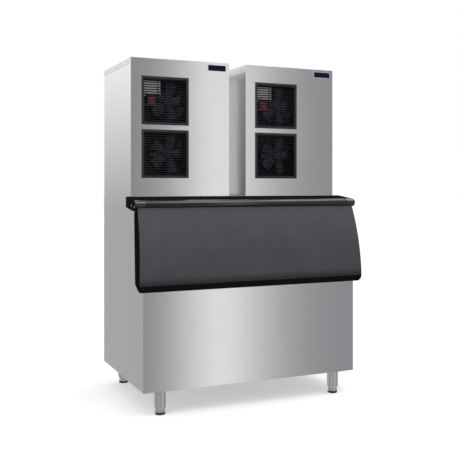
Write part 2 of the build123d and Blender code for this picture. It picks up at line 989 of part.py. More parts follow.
def shroud(head_x):
    """Upright plate with a flared ring round each fan, standing on the base pan."""
    low = sheet
    high = head_height - top_clear
    ring = fan_radius + fan_tip_gap
    left = 3 * sheet + seat_gap
    with BuildPart() as plate:
        block(upright(head_x, shroud_back), (left, low), (bay_width, high), shroud_sheet)
        block(flat(head_x, low), (left, shroud_back), (bay_width, shroud_back + shroud_foot), shroud_sheet)
        with BuildSketch(upright(head_x, shroud_back - shroud_sheet)):
            for height in fan_heights:
                with Locations((fan_x, height)):
                    Circle(ring + shroud_sheet)
        extrude(amount=shroud_ring)
        with BuildSketch(upright(head_x, shroud_back)):
            for height in fan_heights:
                with Locations((fan_x, height)):
                    Circle(ring)
        extrude(amount=shroud_ring + shroud_sheet, mode=Mode.SUBTRACT)
    return plate.part


def fan_blade():
    """One cambered blade, twisted and widened from the hub to the tip, about the Z axis."""
    with BuildPart() as blade:
        stations = (
            (fan_hub_radius - blade_root_sink, blade_chord_root, blade_pitch_root),
            (fan_radius + blade_tip_trim, blade_chord_tip, blade_pitch_tip),
        )
        for radius, chord, pitch in stations:
            plane = Plane(origin=(radius, 0, fan_depth / 2), x_dir=(0, 1, 0), z_dir=(1, 0, 0))
            with BuildSketch(plane.rotated((0, 0, pitch))):
                with BuildLine():
                    edge = chord / 2
                    camber = chord * blade_camber
                    top = camber + blade_thickness
                    upper = ThreePointArc((-edge, blade_thickness), (0, top), (edge, blade_thickness))
                    lower = ThreePointArc((-edge, 0), (0, camber), (edge, 0))
                    Line(upper @ 0, lower @ 0)
                    Line(upper @ 1, lower @ 1)
                make_face()
        loft()
        with BuildSketch():
            Circle(fan_radius)
        extrude(amount=3 * fan_depth, both=True, mode=Mode.INTERSECT)
    return blade.part


def fan(head_x, height, blade):
    """Axial fan: hub with a domed nose and a ring of twisted blades."""
    centre = (head_x + fan_x, head_front + shroud_back - shroud_sheet, bin_top + height)
    axis_plane = Plane(origin=centre, x_dir=(1, 0, 0), z_dir=(0, -1, 0))
    with BuildPart(axis_plane) as wheel:
        Cylinder(fan_hub_radius, fan_depth, align=(Align.CENTER, Align.CENTER, Align.MIN))
        with PolarLocations(0, blade_count):
            add(blade)
        fillet(wheel.edges().filter_by(GeomType.CIRCLE).sort_by(Axis.Y)[0], hub_edge)
        Hole(shaft_radius + running_fit)
    return wheel.part


def fan_motors(head_x):
    """Two motors, each on a strap across its ring, with the shaft that carries its fan."""
    with BuildPart() as motors:
        for height in fan_heights:
            ring = fan_radius + fan_tip_gap
            with BuildSketch(upright(head_x, shroud_back + strap)):
                with Locations((fan_x, height)):
                    Rectangle(2 * (ring + strap_lap), strap_width)
            extrude(amount=strap)
            with BuildSketch(upright(head_x, shroud_back + strap + motor_length)):
                with Locations((fan_x, height)):
                    Circle(motor_radius)
            extrude(amount=motor_length)
            with BuildSketch(upright(head_x, shroud_back)):
                with Locations((fan_x, height)):
                    Circle(shaft_radius)
            extrude(amount=fan_depth - shaft_short)
    return motors.part


def condenser(head_x):
    """Finned core between end plates, with the return bends of its tubes."""
    left = condenser_left
    with BuildPart() as core:
        block(
            upright(head_x, condenser_front + condenser_depth),
            (left, sheet),
            (left + condenser_width, sheet + condenser_height),
            condenser_depth,
        )
        rows = int(condenser_height / tube_pitch / 2)
        for index in range(rows):
            height = sheet + tube_pitch * (2 * index + 1)
            middle = condenser_front + condenser_depth / 2
            with BuildSketch(side_on(head_x, left + condenser_width)):
                with Locations((middle, height)):
                    SlotOverall(tube_pitch / 2 + 2 * tube_radius, 2 * tube_radius, rotation=90)
            extrude(amount=return_bend)
    return core.part


def compressor(head_x):
    """Hermetic shell: domed steel can on a foot plate, with its terminal cover and tube stubs."""
    across = head_x + compressor_x
    back = head_front + compressor_back
    base = bin_top + sheet
    radius = compressor_radius
    high = compressor_height
    side = 2 * (radius + compressor_foot_lap)
    profile = Plane(origin=(across, back, base), x_dir=(1, 0, 0), z_dir=(0, -1, 0))
    terminal = Plane(
        origin=(across + radius - terminal_sink, back, bin_top + high * terminal_level), z_dir=(1, 0, 0)
    )
    stub = Plane(
        origin=(across - suction_stub_across, back - suction_stub_forward, bin_top + high * suction_stub_start)
    )
    with BuildPart() as can:
        with BuildSketch(Plane(origin=(across, back, base))):
            RectangleRounded(side, side, compressor_foot_corner)
        extrude(amount=compressor_foot)
        with BuildSketch(profile):
            with BuildLine():
                Line((0, compressor_foot), (radius, compressor_foot))
                Line((radius, compressor_foot), (radius, high * dome_start))
                dome = ThreePointArc(
                    (radius, high * dome_start), (radius * dome_narrowing, high * dome_middle), (0, high)
                )
                Line(dome @ 1, (0, compressor_foot))
            make_face()
        revolve(axis=Axis((across, back, 0), (0, 0, 1)))
        with BuildSketch(terminal):
            RectangleRounded(terminal_width, terminal_height, terminal_corner)
        extrude(amount=terminal_sink + terminal_reach)
        with BuildSketch(stub):
            Circle(suction_stub_radius)
        extrude(amount=high * suction_stub_share)
    return can.part


def control_box(head_x):
    """Electrical box fixed to the cabinet's side, with a shallow lid on its front."""
    left = 2 * sheet
    right = left + box_width
    high = box_low + box_height
    with BuildPart() as box:
        block(upright(head_x, box_front + box_depth), (left, box_low), (right, high), box_depth - box_lid)
        fillet(box.edges().filter_by(Axis.Y), box_corner)
        block(
            upright(head_x, box_front + box_lid),
            (left + box_lid_border, box_low + box_lid_border),
            (right - box_lid_border, high - box_lid_border),
            box_lid,
        )
    return box.part


def contactor(head_x):
    """Switching relay with a stepped front, on a plate that hangs from the control box."""
    left = contactor_left
    right = left + contactor_width
    high = box_low - contactor_drop
    low = high - contactor_height
    back = box_front + box_depth
    plate_front = back - contactor_plate
    body_front = plate_front - contactor_depth + contactor_step
    with BuildPart() as relay:
        block(upright(head_x, back), (left, low), (right, box_low), contactor_plate)
        block(upright(head_x, plate_front), (left, low), (right, high), plate_front - body_front)
        block(
            upright(head_x, body_front),
            (left + contactor_step, low + contactor_step),
            (right - contactor_step, high - contactor_step),
            contactor_step,
        )
    return relay.part


def partition(head_x):
    """Upright sheet between the air side and the ice side."""
    front = 2 * sheet
    back = head_depth - 4 * sheet
    with BuildPart() as divider:
        block(side_on(head_x, bay_width), (front, sheet), (back, head_height - top_clear), sheet)
        block(flat(head_x, sheet), (bay_width, front), (bay_width + partition_fold, back), sheet)
    return divider.part


# Ice side of a head

def evaporator(head_x):
    """Two upright freezing plates round a serpentine tube, under the water spreader tube."""
    left = bay_width + sheet
    middle = bay_width + (head_width - bay_width) / 2
    low = evaporator_low
    high = low + evaporator_height
    front = evaporator_front
    back = front + evaporator_depth
    pitch = evaporator_height / freezer_tubes
    with BuildPart() as freezer:
        for across in (middle - tube_radius - plate_thickness, middle + tube_radius):
            block(side_on(head_x, across), (front, low), (back, high), plate_thickness)
        for index in range(freezer_tubes):
            height = low + (index + 0.5) * pitch
            with BuildSketch(upright(head_x, back + freezer_tube_reach)):
                with Locations((middle, height)):
                    Circle(freezer_tube_radius)
            extrude(amount=evaporator_depth + 2 * freezer_tube_reach)
        for height in (low + freezer_bracket_inset, high - freezer_bracket_inset):
            bracket_low = (left, height - freezer_bracket_half)
            bracket_high = (middle, height + freezer_bracket_half)
            for face in (back, front + plate_thickness):
                block(upright(head_x, face), bracket_low, bracket_high, plate_thickness)
        with BuildSketch(upright(head_x, back + spreader_radius)):
            with Locations((middle, high + spreader_radius - spreader_drop)):
                Circle(spreader_radius)
        extrude(amount=evaporator_depth + spreader_radius)
    return freezer.part


def water_trough(head_x):
    """Open trough under the evaporator, with the circulating pump standing in its rear corner."""
    left = bay_width + partition_fold + seat_gap
    right = head_width - 4 * sheet
    low = sheet
    high = low + trough_height
    clear_width = right - left - 2 * trough_wall
    clear_depth = trough_back - trough_front - 2 * trough_wall
    pump_x = right - trough_wall - pump_radius - pump_gap
    pump_y = trough_back - trough_wall - pump_radius - pump_gap
    with BuildPart() as tank:
        block(flat(head_x, low), (left, trough_front), (right, trough_back), trough_height)
        with BuildSketch(flat(head_x, low + trough_wall)):
            with Locations(((left + right) / 2, (trough_front + trough_back) / 2)):
                RectangleRounded(clear_width, clear_depth, trough_corner)
        extrude(amount=trough_height, mode=Mode.SUBTRACT)
        with BuildSketch(flat(head_x, low + trough_wall)):
            with Locations((pump_x, pump_y)):
                Circle(pump_radius * pump_neck)
        extrude(amount=trough_height)
        with BuildSketch(flat(head_x, high)):
            with Locations((pump_x, pump_y)):
                Circle(pump_radius)
        extrude(amount=pump_height)
    return tank.part


def ice_guide(head_x):
    """Sloping rack over the trough that slides the ice forward into the chute."""
    left = bay_width + partition_fold + seat_gap
    right = head_width - 4 * sheet
    low = sheet + trough_height
    high = low + guide_rise
    front = trough_front + guide_inset
    back = evaporator_front + evaporator_depth - guide_short
    pitch = (back - front) / guide_slats
    slat_half = pitch * guide_slat_share / 2
    climb = (guide_rise - guide_start) / (back - front)
    with BuildPart() as rack:
        for across in (left, right - guide_rail):
            with BuildSketch(side_on(head_x, across)):
                with BuildLine():
                    Polyline((front, low), (front, low + guide_start), (back, high), (back, low), close=True)
                make_face()
            extrude(amount=guide_rail)
        for index in range(guide_slats):
            along = front + (index + 0.5) * pitch
            top = low + guide_start - guide_slat_drop + climb * (along - front)
            slat_low = (along - slat_half, top - guide_slat_thickness)
            slat_high = (along + slat_half, top)
            block(side_on(head_x, left), slat_low, slat_high, right - left)
    return rack.part


# Write every piece to its own file

os.makedirs("parts", exist_ok=True)

save(bin_side(-half), "bin_side_left")
save(bin_side(inner), "bin_side_right")
save(bin_front_panel(), "bin_front_panel")
save(bin_base_panel(), "bin_base_panel")
save(bin_back_panel(), "bin_back_panel")
save(bin_insulation(), "bin_insulation")
save(bin_liner(), "bin_liner")
save(bin_deck(), "bin_deck")
save(drain_fitting(), "drain_fitting")
save(hood(), "hood")
right_end = hinge_end()
save(right_end, "hinge_end_right")
save(mirror(right_end, about=Plane.YZ), "hinge_end_left")
save(hinge_pins(), "hinge_pins")
save(door_shell(), "door_shell")
save(door_inner_panel(), "door_inner_panel")
save(door_gasket(), "door_gasket")

for place, (leg_x, leg_y) in leg_places.items():
    save(leg(leg_x, leg_y), f"leg_{place}")
    save(foot(leg_x, leg_y), f"foot_{place}")

one_blade = fan_blade()
for hand, head_left in head_places.items():
    save(base_pan(head_left), f"base_pan_{hand}")
    save(cabinet(head_left), f"cabinet_{hand}")
    save(front_panel(head_left), f"front_panel_{hand}")
    save(top_panel(head_left), f"top_panel_{hand}")
    save(grille(head_left, grille_high), f"upper_grille_{hand}")
    save(grille(head_left, grille_low), f"lower_grille_{hand}")
    save(shroud(head_left), f"fan_shroud_{hand}")
    save(fan(head_left, fan_heights[1], one_blade), f"upper_fan_{hand}")
    save(fan(head_left, fan_heights[0], one_blade), f"lower_fan_{hand}")
    save(fan_motors(head_left), f"fan_motors_{hand}")
    save(condenser(head_left), f"condenser_{hand}")
    save(compressor(head_left), f"compressor_{hand}")
    save(control_box(head_left), f"control_box_{hand}")
    save(contactor(head_left), f"contactor_{hand}")
    save(partition(head_left), f"partition_{hand}")
    save(evaporator(head_left), f"evaporator_{hand}")
    save(water_trough(head_left), f"water_trough_{hand}")
    save(ice_guide(head_left), f"ice_guide_{hand}")
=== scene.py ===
# %% [markdown]
# # Crescent ice maker: two ice-making heads on one storage bin
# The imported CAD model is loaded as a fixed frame, in metres, with the front towards -Y.
# Everything built here is placed from that frame, so that no piece has to be fitted by eye.

# %% Load the frame
import json
import math

import bmesh
import bpy
from mathutils import Matrix, Vector

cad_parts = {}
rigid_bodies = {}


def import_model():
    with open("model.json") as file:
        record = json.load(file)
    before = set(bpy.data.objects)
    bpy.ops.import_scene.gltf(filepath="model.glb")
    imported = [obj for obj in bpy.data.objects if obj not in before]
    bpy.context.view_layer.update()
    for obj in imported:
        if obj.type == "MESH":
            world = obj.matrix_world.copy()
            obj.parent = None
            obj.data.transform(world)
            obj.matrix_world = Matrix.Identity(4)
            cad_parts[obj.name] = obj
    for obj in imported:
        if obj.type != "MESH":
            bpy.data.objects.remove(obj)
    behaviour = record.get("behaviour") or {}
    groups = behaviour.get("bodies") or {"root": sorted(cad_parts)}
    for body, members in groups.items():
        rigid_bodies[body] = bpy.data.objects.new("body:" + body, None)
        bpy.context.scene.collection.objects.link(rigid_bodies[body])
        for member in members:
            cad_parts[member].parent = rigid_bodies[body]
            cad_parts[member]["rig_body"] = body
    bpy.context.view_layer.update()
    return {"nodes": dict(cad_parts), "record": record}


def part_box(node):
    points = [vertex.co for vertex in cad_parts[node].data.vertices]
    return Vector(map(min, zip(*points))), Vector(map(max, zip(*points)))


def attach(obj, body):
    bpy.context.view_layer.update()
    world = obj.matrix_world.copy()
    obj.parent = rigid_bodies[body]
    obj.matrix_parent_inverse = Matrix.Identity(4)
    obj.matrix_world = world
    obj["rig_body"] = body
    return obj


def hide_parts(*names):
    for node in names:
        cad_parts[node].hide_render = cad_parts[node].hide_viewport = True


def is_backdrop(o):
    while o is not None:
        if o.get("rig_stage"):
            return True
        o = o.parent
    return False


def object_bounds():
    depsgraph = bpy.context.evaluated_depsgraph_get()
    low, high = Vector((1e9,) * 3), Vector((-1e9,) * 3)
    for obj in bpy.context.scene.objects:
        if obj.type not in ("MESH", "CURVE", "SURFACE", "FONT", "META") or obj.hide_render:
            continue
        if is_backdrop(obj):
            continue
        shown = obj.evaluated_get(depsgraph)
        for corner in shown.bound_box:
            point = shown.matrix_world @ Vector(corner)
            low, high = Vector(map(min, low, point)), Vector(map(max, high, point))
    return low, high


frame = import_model()
scene = bpy.context.scene

# %% [markdown]
# ## Camera
# The photograph looks from the left of the front, at chest height, with upright lines kept upright.
# A camera that is tipped down would make them lean. So this one is level, and a small vertical shift
# lowers what it sees, as a lens that is slid down does.

# %% Camera
image_height = 465
focal_pixels = 761.0
horizon_row = 185.0
turn_right = 0.4138
eye = Vector((-1.728, -4.0145, 1.160))
sensor = 36.0

camera_data = bpy.data.cameras.new("front_left_view")
camera_data.sensor_width = sensor
camera_data.lens = focal_pixels * sensor / image_height
camera_data.shift_y = (horizon_row - image_height / 2) / image_height
camera = bpy.data.objects.new("front_left_view", camera_data)
camera.location = eye
camera.rotation_euler = (math.radians(90), 0, -turn_right)
scene.collection.objects.link(camera)
scene.camera = camera
scene.view_settings.view_transform = "Standard"
print("lens", round(camera_data.lens, 1), "mm")

# %% [markdown]
# ## Helpers for finishes
# A finish could be a picture on the surface, but nodes stay sharp at any distance and need no file.
# Every finish starts from the Principled shader. Constants are set on its own sockets,
# and only what changes over the surface comes in through nodes.

# %% Helpers for finishes


def new_finish(name, colour, roughness, **sockets):
    """A material with its Principled shader set, ready for nodes."""
    material = bpy.data.materials.new(name)
    material.use_nodes = True
    shader = material.node_tree.nodes["Principled BSDF"]
    shader.inputs["Base Color"].default_value = (*colour, 1.0)
    shader.inputs["Roughness"].default_value = roughness
    for socket, value in sockets.items():
        shader.inputs[socket.replace("_", " ")].default_value = value
    return material


def feed(material, socket, output):
    """Link a changing value to a socket of the material's Principled shader."""
    tree = material.node_tree
    tree.links.new(output, tree.nodes["Principled BSDF"].inputs[socket])


def drive_roughness(material, value, low, high):
    """Roughness runs from low to high as a 0 to 1 value changes over the surface."""
    span = material.node_tree.nodes.new("ShaderNodeMapRange")
    span.inputs["To Min"].default_value = low
    span.inputs["To Max"].default_value = high
    material.node_tree.links.new(value, span.inputs["Value"])
    feed(material, "Roughness", span.outputs["Result"])


def drive_colour(material, value, dark, light):
    """Base colour runs between two colours as a value changes over the surface."""
    mix = material.node_tree.nodes.new("ShaderNodeMix")
    mix.data_type = "RGBA"
    mix.inputs["A"].default_value = (*dark, 1.0)
    mix.inputs["B"].default_value = (*light, 1.0)
    material.node_tree.links.new(value, mix.inputs["Factor"])
    feed(material, "Base Color", mix.outputs["Result"])


def drive_bump(material, height, strength, distance):
    """A height value raises the surface through one Bump node."""
    bump = material.node_tree.nodes.new("ShaderNodeBump")
    bump.inputs["Strength"].default_value = strength
    bump.inputs["Distance"].default_value = distance
    material.node_tree.links.new(height, bump.inputs["Height"])
    feed(material, "Normal", bump.outputs["Normal"])


print("helpers for finishes are ready")

# %% [markdown]
# ## Effects that several finishes share
# Brushed grain is noise that is stretched along the belt's direction.
# Handling marks are large soft patches where the sheen changes a little.
# Moulded texture is a field of small rounded cells, as spark-eroded tools leave on plastic.
# Each one is a node group with a named input, so that many finishes use it at their own size.

# %% Shared effects


def new_group(name, label, kind, value, result):
    """A shader node group with a named input and a named output, and its two end nodes."""
    group = bpy.data.node_groups.new(name, "ShaderNodeTree")
    socket = group.interface.new_socket(label, in_out="INPUT", socket_type=kind)
    socket.default_value = value
    group.interface.new_socket(result, in_out="OUTPUT", socket_type="NodeSocketFloat")
    return group, group.nodes.new("NodeGroupInput"), group.nodes.new("NodeGroupOutput")


def noise_group(name, label, scale, result, detail, roughness):
    """A group that gives noise on Object coordinates, scaled along each axis by its input."""
    group, start, end = new_group(name, label, "NodeSocketVector", scale, result)
    place = group.nodes.new("ShaderNodeTexCoord")
    stretch = group.nodes.new("ShaderNodeVectorMath")
    stretch.operation = "MULTIPLY"
    noise = group.nodes.new("ShaderNodeTexNoise")
    noise.inputs["Scale"].default_value = 1.0
    noise.inputs["Detail"].default_value = detail
    noise.inputs["Roughness"].default_value = roughness
    group.links.new(place.outputs["Object"], stretch.inputs[0])
    group.links.new(start.outputs[label], stretch.inputs[1])
    group.links.new(stretch.outputs["Vector"], noise.inputs["Vector"])
    group.links.new(noise.outputs["Fac"], end.inputs[result])
    return group


grain_group = noise_group("brushed_grain", "Lines per metre", (3, 3, 1500), "Grain", 3.0, 0.65)
marks_group = noise_group("handling_marks", "Patches per metre", (4, 4, 4), "Marks", 4.0, 0.55)

pebble_group, start, end = new_group(
    "moulded_texture", "Cells per metre", "NodeSocketFloat", 300.0, "Height"
)
place = pebble_group.nodes.new("ShaderNodeTexCoord")
cells = pebble_group.nodes.new("ShaderNodeTexVoronoi")
cells.feature = "SMOOTH_F1"
cells.inputs["Smoothness"].default_value = 0.6
pebble_group.links.new(place.outputs["Object"], cells.inputs["Vector"])
pebble_group.links.new(start.outputs["Cells per metre"], cells.inputs["Scale"])
pebble_group.links.new(cells.outputs["Distance"], end.inputs["Height"])


def effect(material, group, size):
    """Put a shared effect into a material at its own size, and give what it puts out."""
    node = material.node_tree.nodes.new("ShaderNodeGroup")
    node.node_tree = group
    node.inputs[0].default_value = size
    return node.outputs[0]


print("shared effects:", [group.name for group in (grain_group, marks_group, pebble_group)])

# %% [markdown]
# ## Metal finishes
# The skins are stainless sheet, ground with a belt that leaves fine level lines. A plain grey would
# look like paint, because steel is seen by what it mirrors. So the metals are quite smooth, their
# grain and marks change the gloss a little, and the last cells give them a room to mirror.
# One recipe makes all of them. A row has a name, a dark and a light tint, the lowest and highest
# roughness, the grain's lines per metre in X, Y and Z, and the bump where it isn't the usual one.

# %% Metal finishes
metal_patches = (5.0, 5.0, 3.0)
marks_share = 0.45
grain_depth = 0.0002
finishes = {}


def ground_metal(name, dark, light, gloss, lines, bump=0.12):
    """Metal with directional grain, a slight tint change and handling marks."""
    material = new_finish(name, light, gloss[0], Metallic=1.0)
    grain = effect(material, grain_group, lines)
    marks = effect(material, marks_group, metal_patches)
    tree = material.node_tree
    both = tree.nodes.new("ShaderNodeMix")
    both.inputs["Factor"].default_value = marks_share
    tree.links.new(grain, both.inputs["A"])
    tree.links.new(marks, both.inputs["B"])
    drive_roughness(material, both.outputs["Result"], *gloss)
    drive_colour(material, grain, dark, light)
    drive_bump(material, grain, bump, grain_depth)
    return material


for row in (
    ("brushed_skin", (0.515, 0.515, 0.520), (0.592, 0.592, 0.597), (0.09, 0.17), (2.5, 2.5, 1400)),
    ("brushed_lid", (0.515, 0.515, 0.520), (0.592, 0.592, 0.597), (0.20, 0.32), (1400, 2.5, 1400)),
    ("satin_leg", (0.56, 0.56, 0.57), (0.68, 0.68, 0.69), (0.08, 0.18), (60, 60, 1800), 0.04),
    ("zinc_sheet", (0.36, 0.38, 0.40), (0.50, 0.52, 0.54), (0.35, 0.55), (35, 35, 35)),
    # painted shade: near-black zinc for the shrouds and partitions behind the grilles
    ("shroud_sheet", (0.014, 0.015, 0.017), (0.026, 0.028, 0.031), (0.40, 0.55), (35, 35, 35)),
    ("polished_foot", (0.60, 0.60, 0.61), (0.74, 0.74, 0.75), (0.08, 0.20), (50, 50, 1600)),
    ("screw_steel", (0.52, 0.52, 0.52), (0.66, 0.66, 0.66), (0.15, 0.28), (900, 900, 900)),
    ("ground_pin", (0.50, 0.50, 0.50), (0.62, 0.62, 0.62), (0.12, 0.25), (900, 3, 3)),
    ("nickel_plate", (0.50, 0.47, 0.41), (0.66, 0.62, 0.55), (0.18, 0.32), (40, 40, 40)),
    ("fin_aluminium", (0.22, 0.225, 0.24), (0.34, 0.345, 0.36), (0.30, 0.45), (200, 200, 20)),
    ("copper_tube", (0.55, 0.26, 0.14), (0.75, 0.38, 0.22), (0.18, 0.38), (30, 30, 30)),
    # painted shade: fan blades far darker than their metal, for the shade behind the slats
    ("fan_blade_metal", (0.036, 0.040, 0.052), (0.062, 0.069, 0.086), (0.22, 0.38), (80, 80, 80)),
):
    finishes[row[0]] = ground_metal(*row)
print("metal finishes:", len(finishes))

# %% [markdown]
# ## Black plastic and rubber
# The door is black plastic with a coarse moulded texture that scatters the light to a dark grey.
# The hood, the cheeks and the lip are plainer, and their specular level is zero, because the camera
# looks along them and a glancing shine would turn them grey. The cheeks, the inside and the underside
# of the lip are also painted near-black, far darker than the face, as painted shade. The barrel and the
# knuckles are smooth and show a line of light. A row has a name, a dark and a light tint, the lowest and
# highest roughness, cells per metre, the bump and its depth, and the specular level where it isn't 0.5.

# %% Black plastic and rubber
plastic_patches = (6.0, 6.0, 6.0)


def moulded(name, dark, light, gloss, cells, bump, depth, specular=0.5):
    """Plastic, rubber or paint: texture from the mould, mottled a little, with changing gloss."""
    material = new_finish(name, light, gloss[0], Specular_IOR_Level=specular)
    texture = effect(material, pebble_group, cells)
    marks = effect(material, marks_group, plastic_patches)
    drive_roughness(material, marks, *gloss)
    drive_colour(material, marks, dark, light)
    drive_bump(material, texture, bump, depth)
    return material


for row in (
    ("textured_black", (0.033, 0.033, 0.041), (0.056, 0.056, 0.071), (0.40, 0.54), 250, 1.0, 0.0026),
    # painted shade: a near-black copy of the door's plastic for its cheeks, inside and lip underside
    ("plain_black", (0.005, 0.005, 0.005), (0.009, 0.009, 0.009), (0.45, 0.60), 500, 0.2, 0.0004, 0.0),
    ("hood_black", (0.008, 0.008, 0.008), (0.014, 0.014, 0.014), (0.40, 0.55), 300, 0.6, 0.0012, 0.0),
    ("barrel_black", (0.003, 0.003, 0.003), (0.005, 0.005, 0.006), (0.10, 0.16), 700, 0.1, 0.0003, 0.7),
    ("knuckle_black", (0.004, 0.004, 0.004), (0.006, 0.006, 0.007), (0.14, 0.20), 700, 0.1, 0.0003, 0.7),
    ("grille_black", (0.020, 0.020, 0.024), (0.032, 0.032, 0.038), (0.30, 0.42), 700, 0.3, 0.0004, 0.25),
    # painted shade: slats and mullions darker than the grille's frame, for the shade in its recess
    ("slat_black", (0.005, 0.005, 0.007), (0.009, 0.009, 0.012), (0.24, 0.36), 700, 0.2, 0.0004, 0.2),
    ("seal_rubber_black", (0.014, 0.014, 0.014), (0.024, 0.024, 0.024), (0.60, 0.80), 500, 0.4, 0.0005),
):
    finishes[row[0]] = moulded(*row)
knuckle_shader = finishes["knuckle_black"].node_tree.nodes["Principled BSDF"]
knuckle_shader.inputs["Coat Weight"].default_value = 0.5
print("finishes so far:", len(finishes))

# %% [markdown]
# ## Painted shade at the foot of the door's face
# Near its foot the face's base colour is painted darker, down to plain black above the lip, as painted
# shade where the face turns under into the curl. A second piece would leave a hard seam there, so the
# base colour falls with the height instead.

# %% Painted shade at the door's foot
shade_full_below, shade_ends_above = 0.655, 0.712
tree = finishes["textured_black"].node_tree
shader = tree.nodes["Principled BSDF"]
textured = shader.inputs["Base Color"].links[0].from_socket
place = tree.nodes.new("ShaderNodeTexCoord")
apart = tree.nodes.new("ShaderNodeSeparateXYZ")
span = tree.nodes.new("ShaderNodeMapRange")
span.interpolation_type = "SMOOTHSTEP"
span.inputs["From Min"].default_value = shade_full_below
span.inputs["From Max"].default_value = shade_ends_above
foot_shade = tree.nodes.new("ShaderNodeMix")
foot_shade.data_type = "RGBA"
# painted shade: the near-black colour that the face's base colour falls to at its foot
foot_shade.inputs["A"].default_value = (0.005, 0.005, 0.006, 1.0)
for output, socket in (
    (place.outputs["Object"], apart.inputs["Vector"]),
    (apart.outputs["Z"], span.inputs["Value"]),
    (span.outputs["Result"], foot_shade.inputs["Factor"]),
    (textured, foot_shade.inputs["B"]),
    (foot_shade.outputs["Result"], shader.inputs["Base Color"]),
):
    tree.links.new(output, socket)
# prints the heights between which the painted shade at the door's foot fades out
print("the door's texture runs out between", shade_full_below, "and", shade_ends_above, "m")

# %% [markdown]
# ## Pale plastic, foam and paint
# Inside are a white liner, a grey deck, tan foam, enamelled boxes, motors and compressors, and the
# small coloured parts that show through the slats. The same recipe makes them, with other cells
# and tints, because paint and plastic differ mostly in their texture and gloss.

# %% Pale plastic, foam and paint
for row in (
    ("liner_white", (0.72, 0.74, 0.75), (0.80, 0.82, 0.83), (0.25, 0.40), 220, 0.10, 0.0005),
    ("deck_grey", (0.55, 0.57, 0.58), (0.66, 0.68, 0.69), (0.35, 0.55), 300, 0.15, 0.0005),
    ("rigid_foam", (0.62, 0.50, 0.28), (0.78, 0.66, 0.42), (0.80, 0.95), 160, 0.9, 0.0015),
    ("white_moulded", (0.70, 0.71, 0.71), (0.80, 0.81, 0.81), (0.28, 0.42), 400, 0.12, 0.0004),
    ("box_enamel", (0.46, 0.46, 0.46), (0.56, 0.55, 0.55), (0.35, 0.50), 800, 0.15, 0.0003),
    ("motor_enamel", (0.030, 0.031, 0.034), (0.050, 0.052, 0.056), (0.35, 0.50), 600, 0.2, 0.0004),
    ("compressor_enamel", (0.014, 0.014, 0.015), (0.026, 0.026, 0.027), (0.28, 0.45), 500, 0.2, 0.0004),
    ("relay_red", (0.24, 0.04, 0.04), (0.34, 0.065, 0.06), (0.25, 0.40), 900, 0.1, 0.0002),
    ("wire_red", (0.30, 0.02, 0.02), (0.42, 0.04, 0.035), (0.30, 0.45), 900, 0.1, 0.0002),
    ("board_green", (0.01, 0.07, 0.03), (0.02, 0.12, 0.05), (0.30, 0.45), 900, 0.2, 0.0003),
    ("plate_enamel", (0.006, 0.005, 0.020), (0.010, 0.008, 0.030), (0.25, 0.35), 900, 0.05, 0.0002, 0.05),
    ("plate_trim", (0.62, 0.62, 0.66), (0.74, 0.74, 0.78), (0.20, 0.30), 900, 0.05, 0.0002),
):
    finishes[row[0]] = moulded(*row)
print("finishes in all:", len(finishes))

# %% [markdown]
# ## Dress the CAD pieces
# A CAD piece whose shape is already right keeps its mesh and only gets a finish, chosen by the
# material slot that the record gives it. The fan shrouds and the partitions are zinc sheet, but they
# stand in shade behind the grilles, so they are painted near-black, as painted shade.

# %% Finishes on the CAD pieces
slot_finish = {
    "stainless_skin": "brushed_skin",
    "liner_plastic": "liner_white",
    "foam": "rigid_foam",
    "deck_plastic": "deck_grey",
    "hood_plastic": "hood_black",
    "door_plastic": "textured_black",
    "seal_rubber": "seal_rubber_black",
    "pin_steel": "ground_pin",
    "leg_steel": "satin_leg",
    "zinc_steel": "zinc_sheet",
    "grille_plastic": "grille_black",
    "motor_paint": "motor_enamel",
    "fin_aluminium": "fin_aluminium",
    "compressor_paint": "compressor_enamel",
    "box_paint": "box_enamel",
    "contactor_red": "relay_red",
    "plate_steel": "nickel_plate",
    "white_plastic": "white_moulded",
    "fan_blades": "fan_blade_metal",
}
node_slot = {part["node"]: part["material_slot"] for part in frame["record"]["subparts"]}
shade_painted_prefixes = ("fan_shroud", "partition")
for name, node in frame["nodes"].items():
    # painted shade on the fan shrouds and the partitions, in place of their zinc
    finish = "shroud_sheet" if name.startswith(shade_painted_prefixes) else slot_finish[node_slot[name]]
    node.data.materials.clear()
    node.data.materials.append(finishes[finish])
print("CAD pieces dressed:", len(frame["nodes"]))

# %% [markdown]
# ## Softened copies
# Pressed and moulded parts never have knife edges. They could be rounded in the CAD, but a merged
# copy of the CAD mesh with a small bevel does it with few faces. Each edge then catches a thin line
# of light, and the copy stands for the CAD piece.

# %% Helpers for pieces
merge_distance = 0.00002
flat_limit = math.radians(1.0)
edge_limit = math.radians(40)


def keep_mesh(shape, name):
    """Store a bmesh shape as a mesh."""
    mesh = bpy.data.meshes.new(name)
    shape.to_mesh(mesh)
    shape.free()
    return mesh


def finish_mesh(name, mesh, finish, body, smooth_angle=35.0):
    """Link a mesh as a piece with one finish, smooth where its faces meet gently."""
    mesh.materials.clear()
    mesh.materials.append(finishes[finish])
    mesh.polygons.foreach_set("use_smooth", [True] * len(mesh.polygons))
    mesh.set_sharp_from_angle(angle=math.radians(smooth_angle))
    piece = bpy.data.objects.new(name, mesh)
    scene.collection.objects.link(piece)
    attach(piece, body)
    return piece


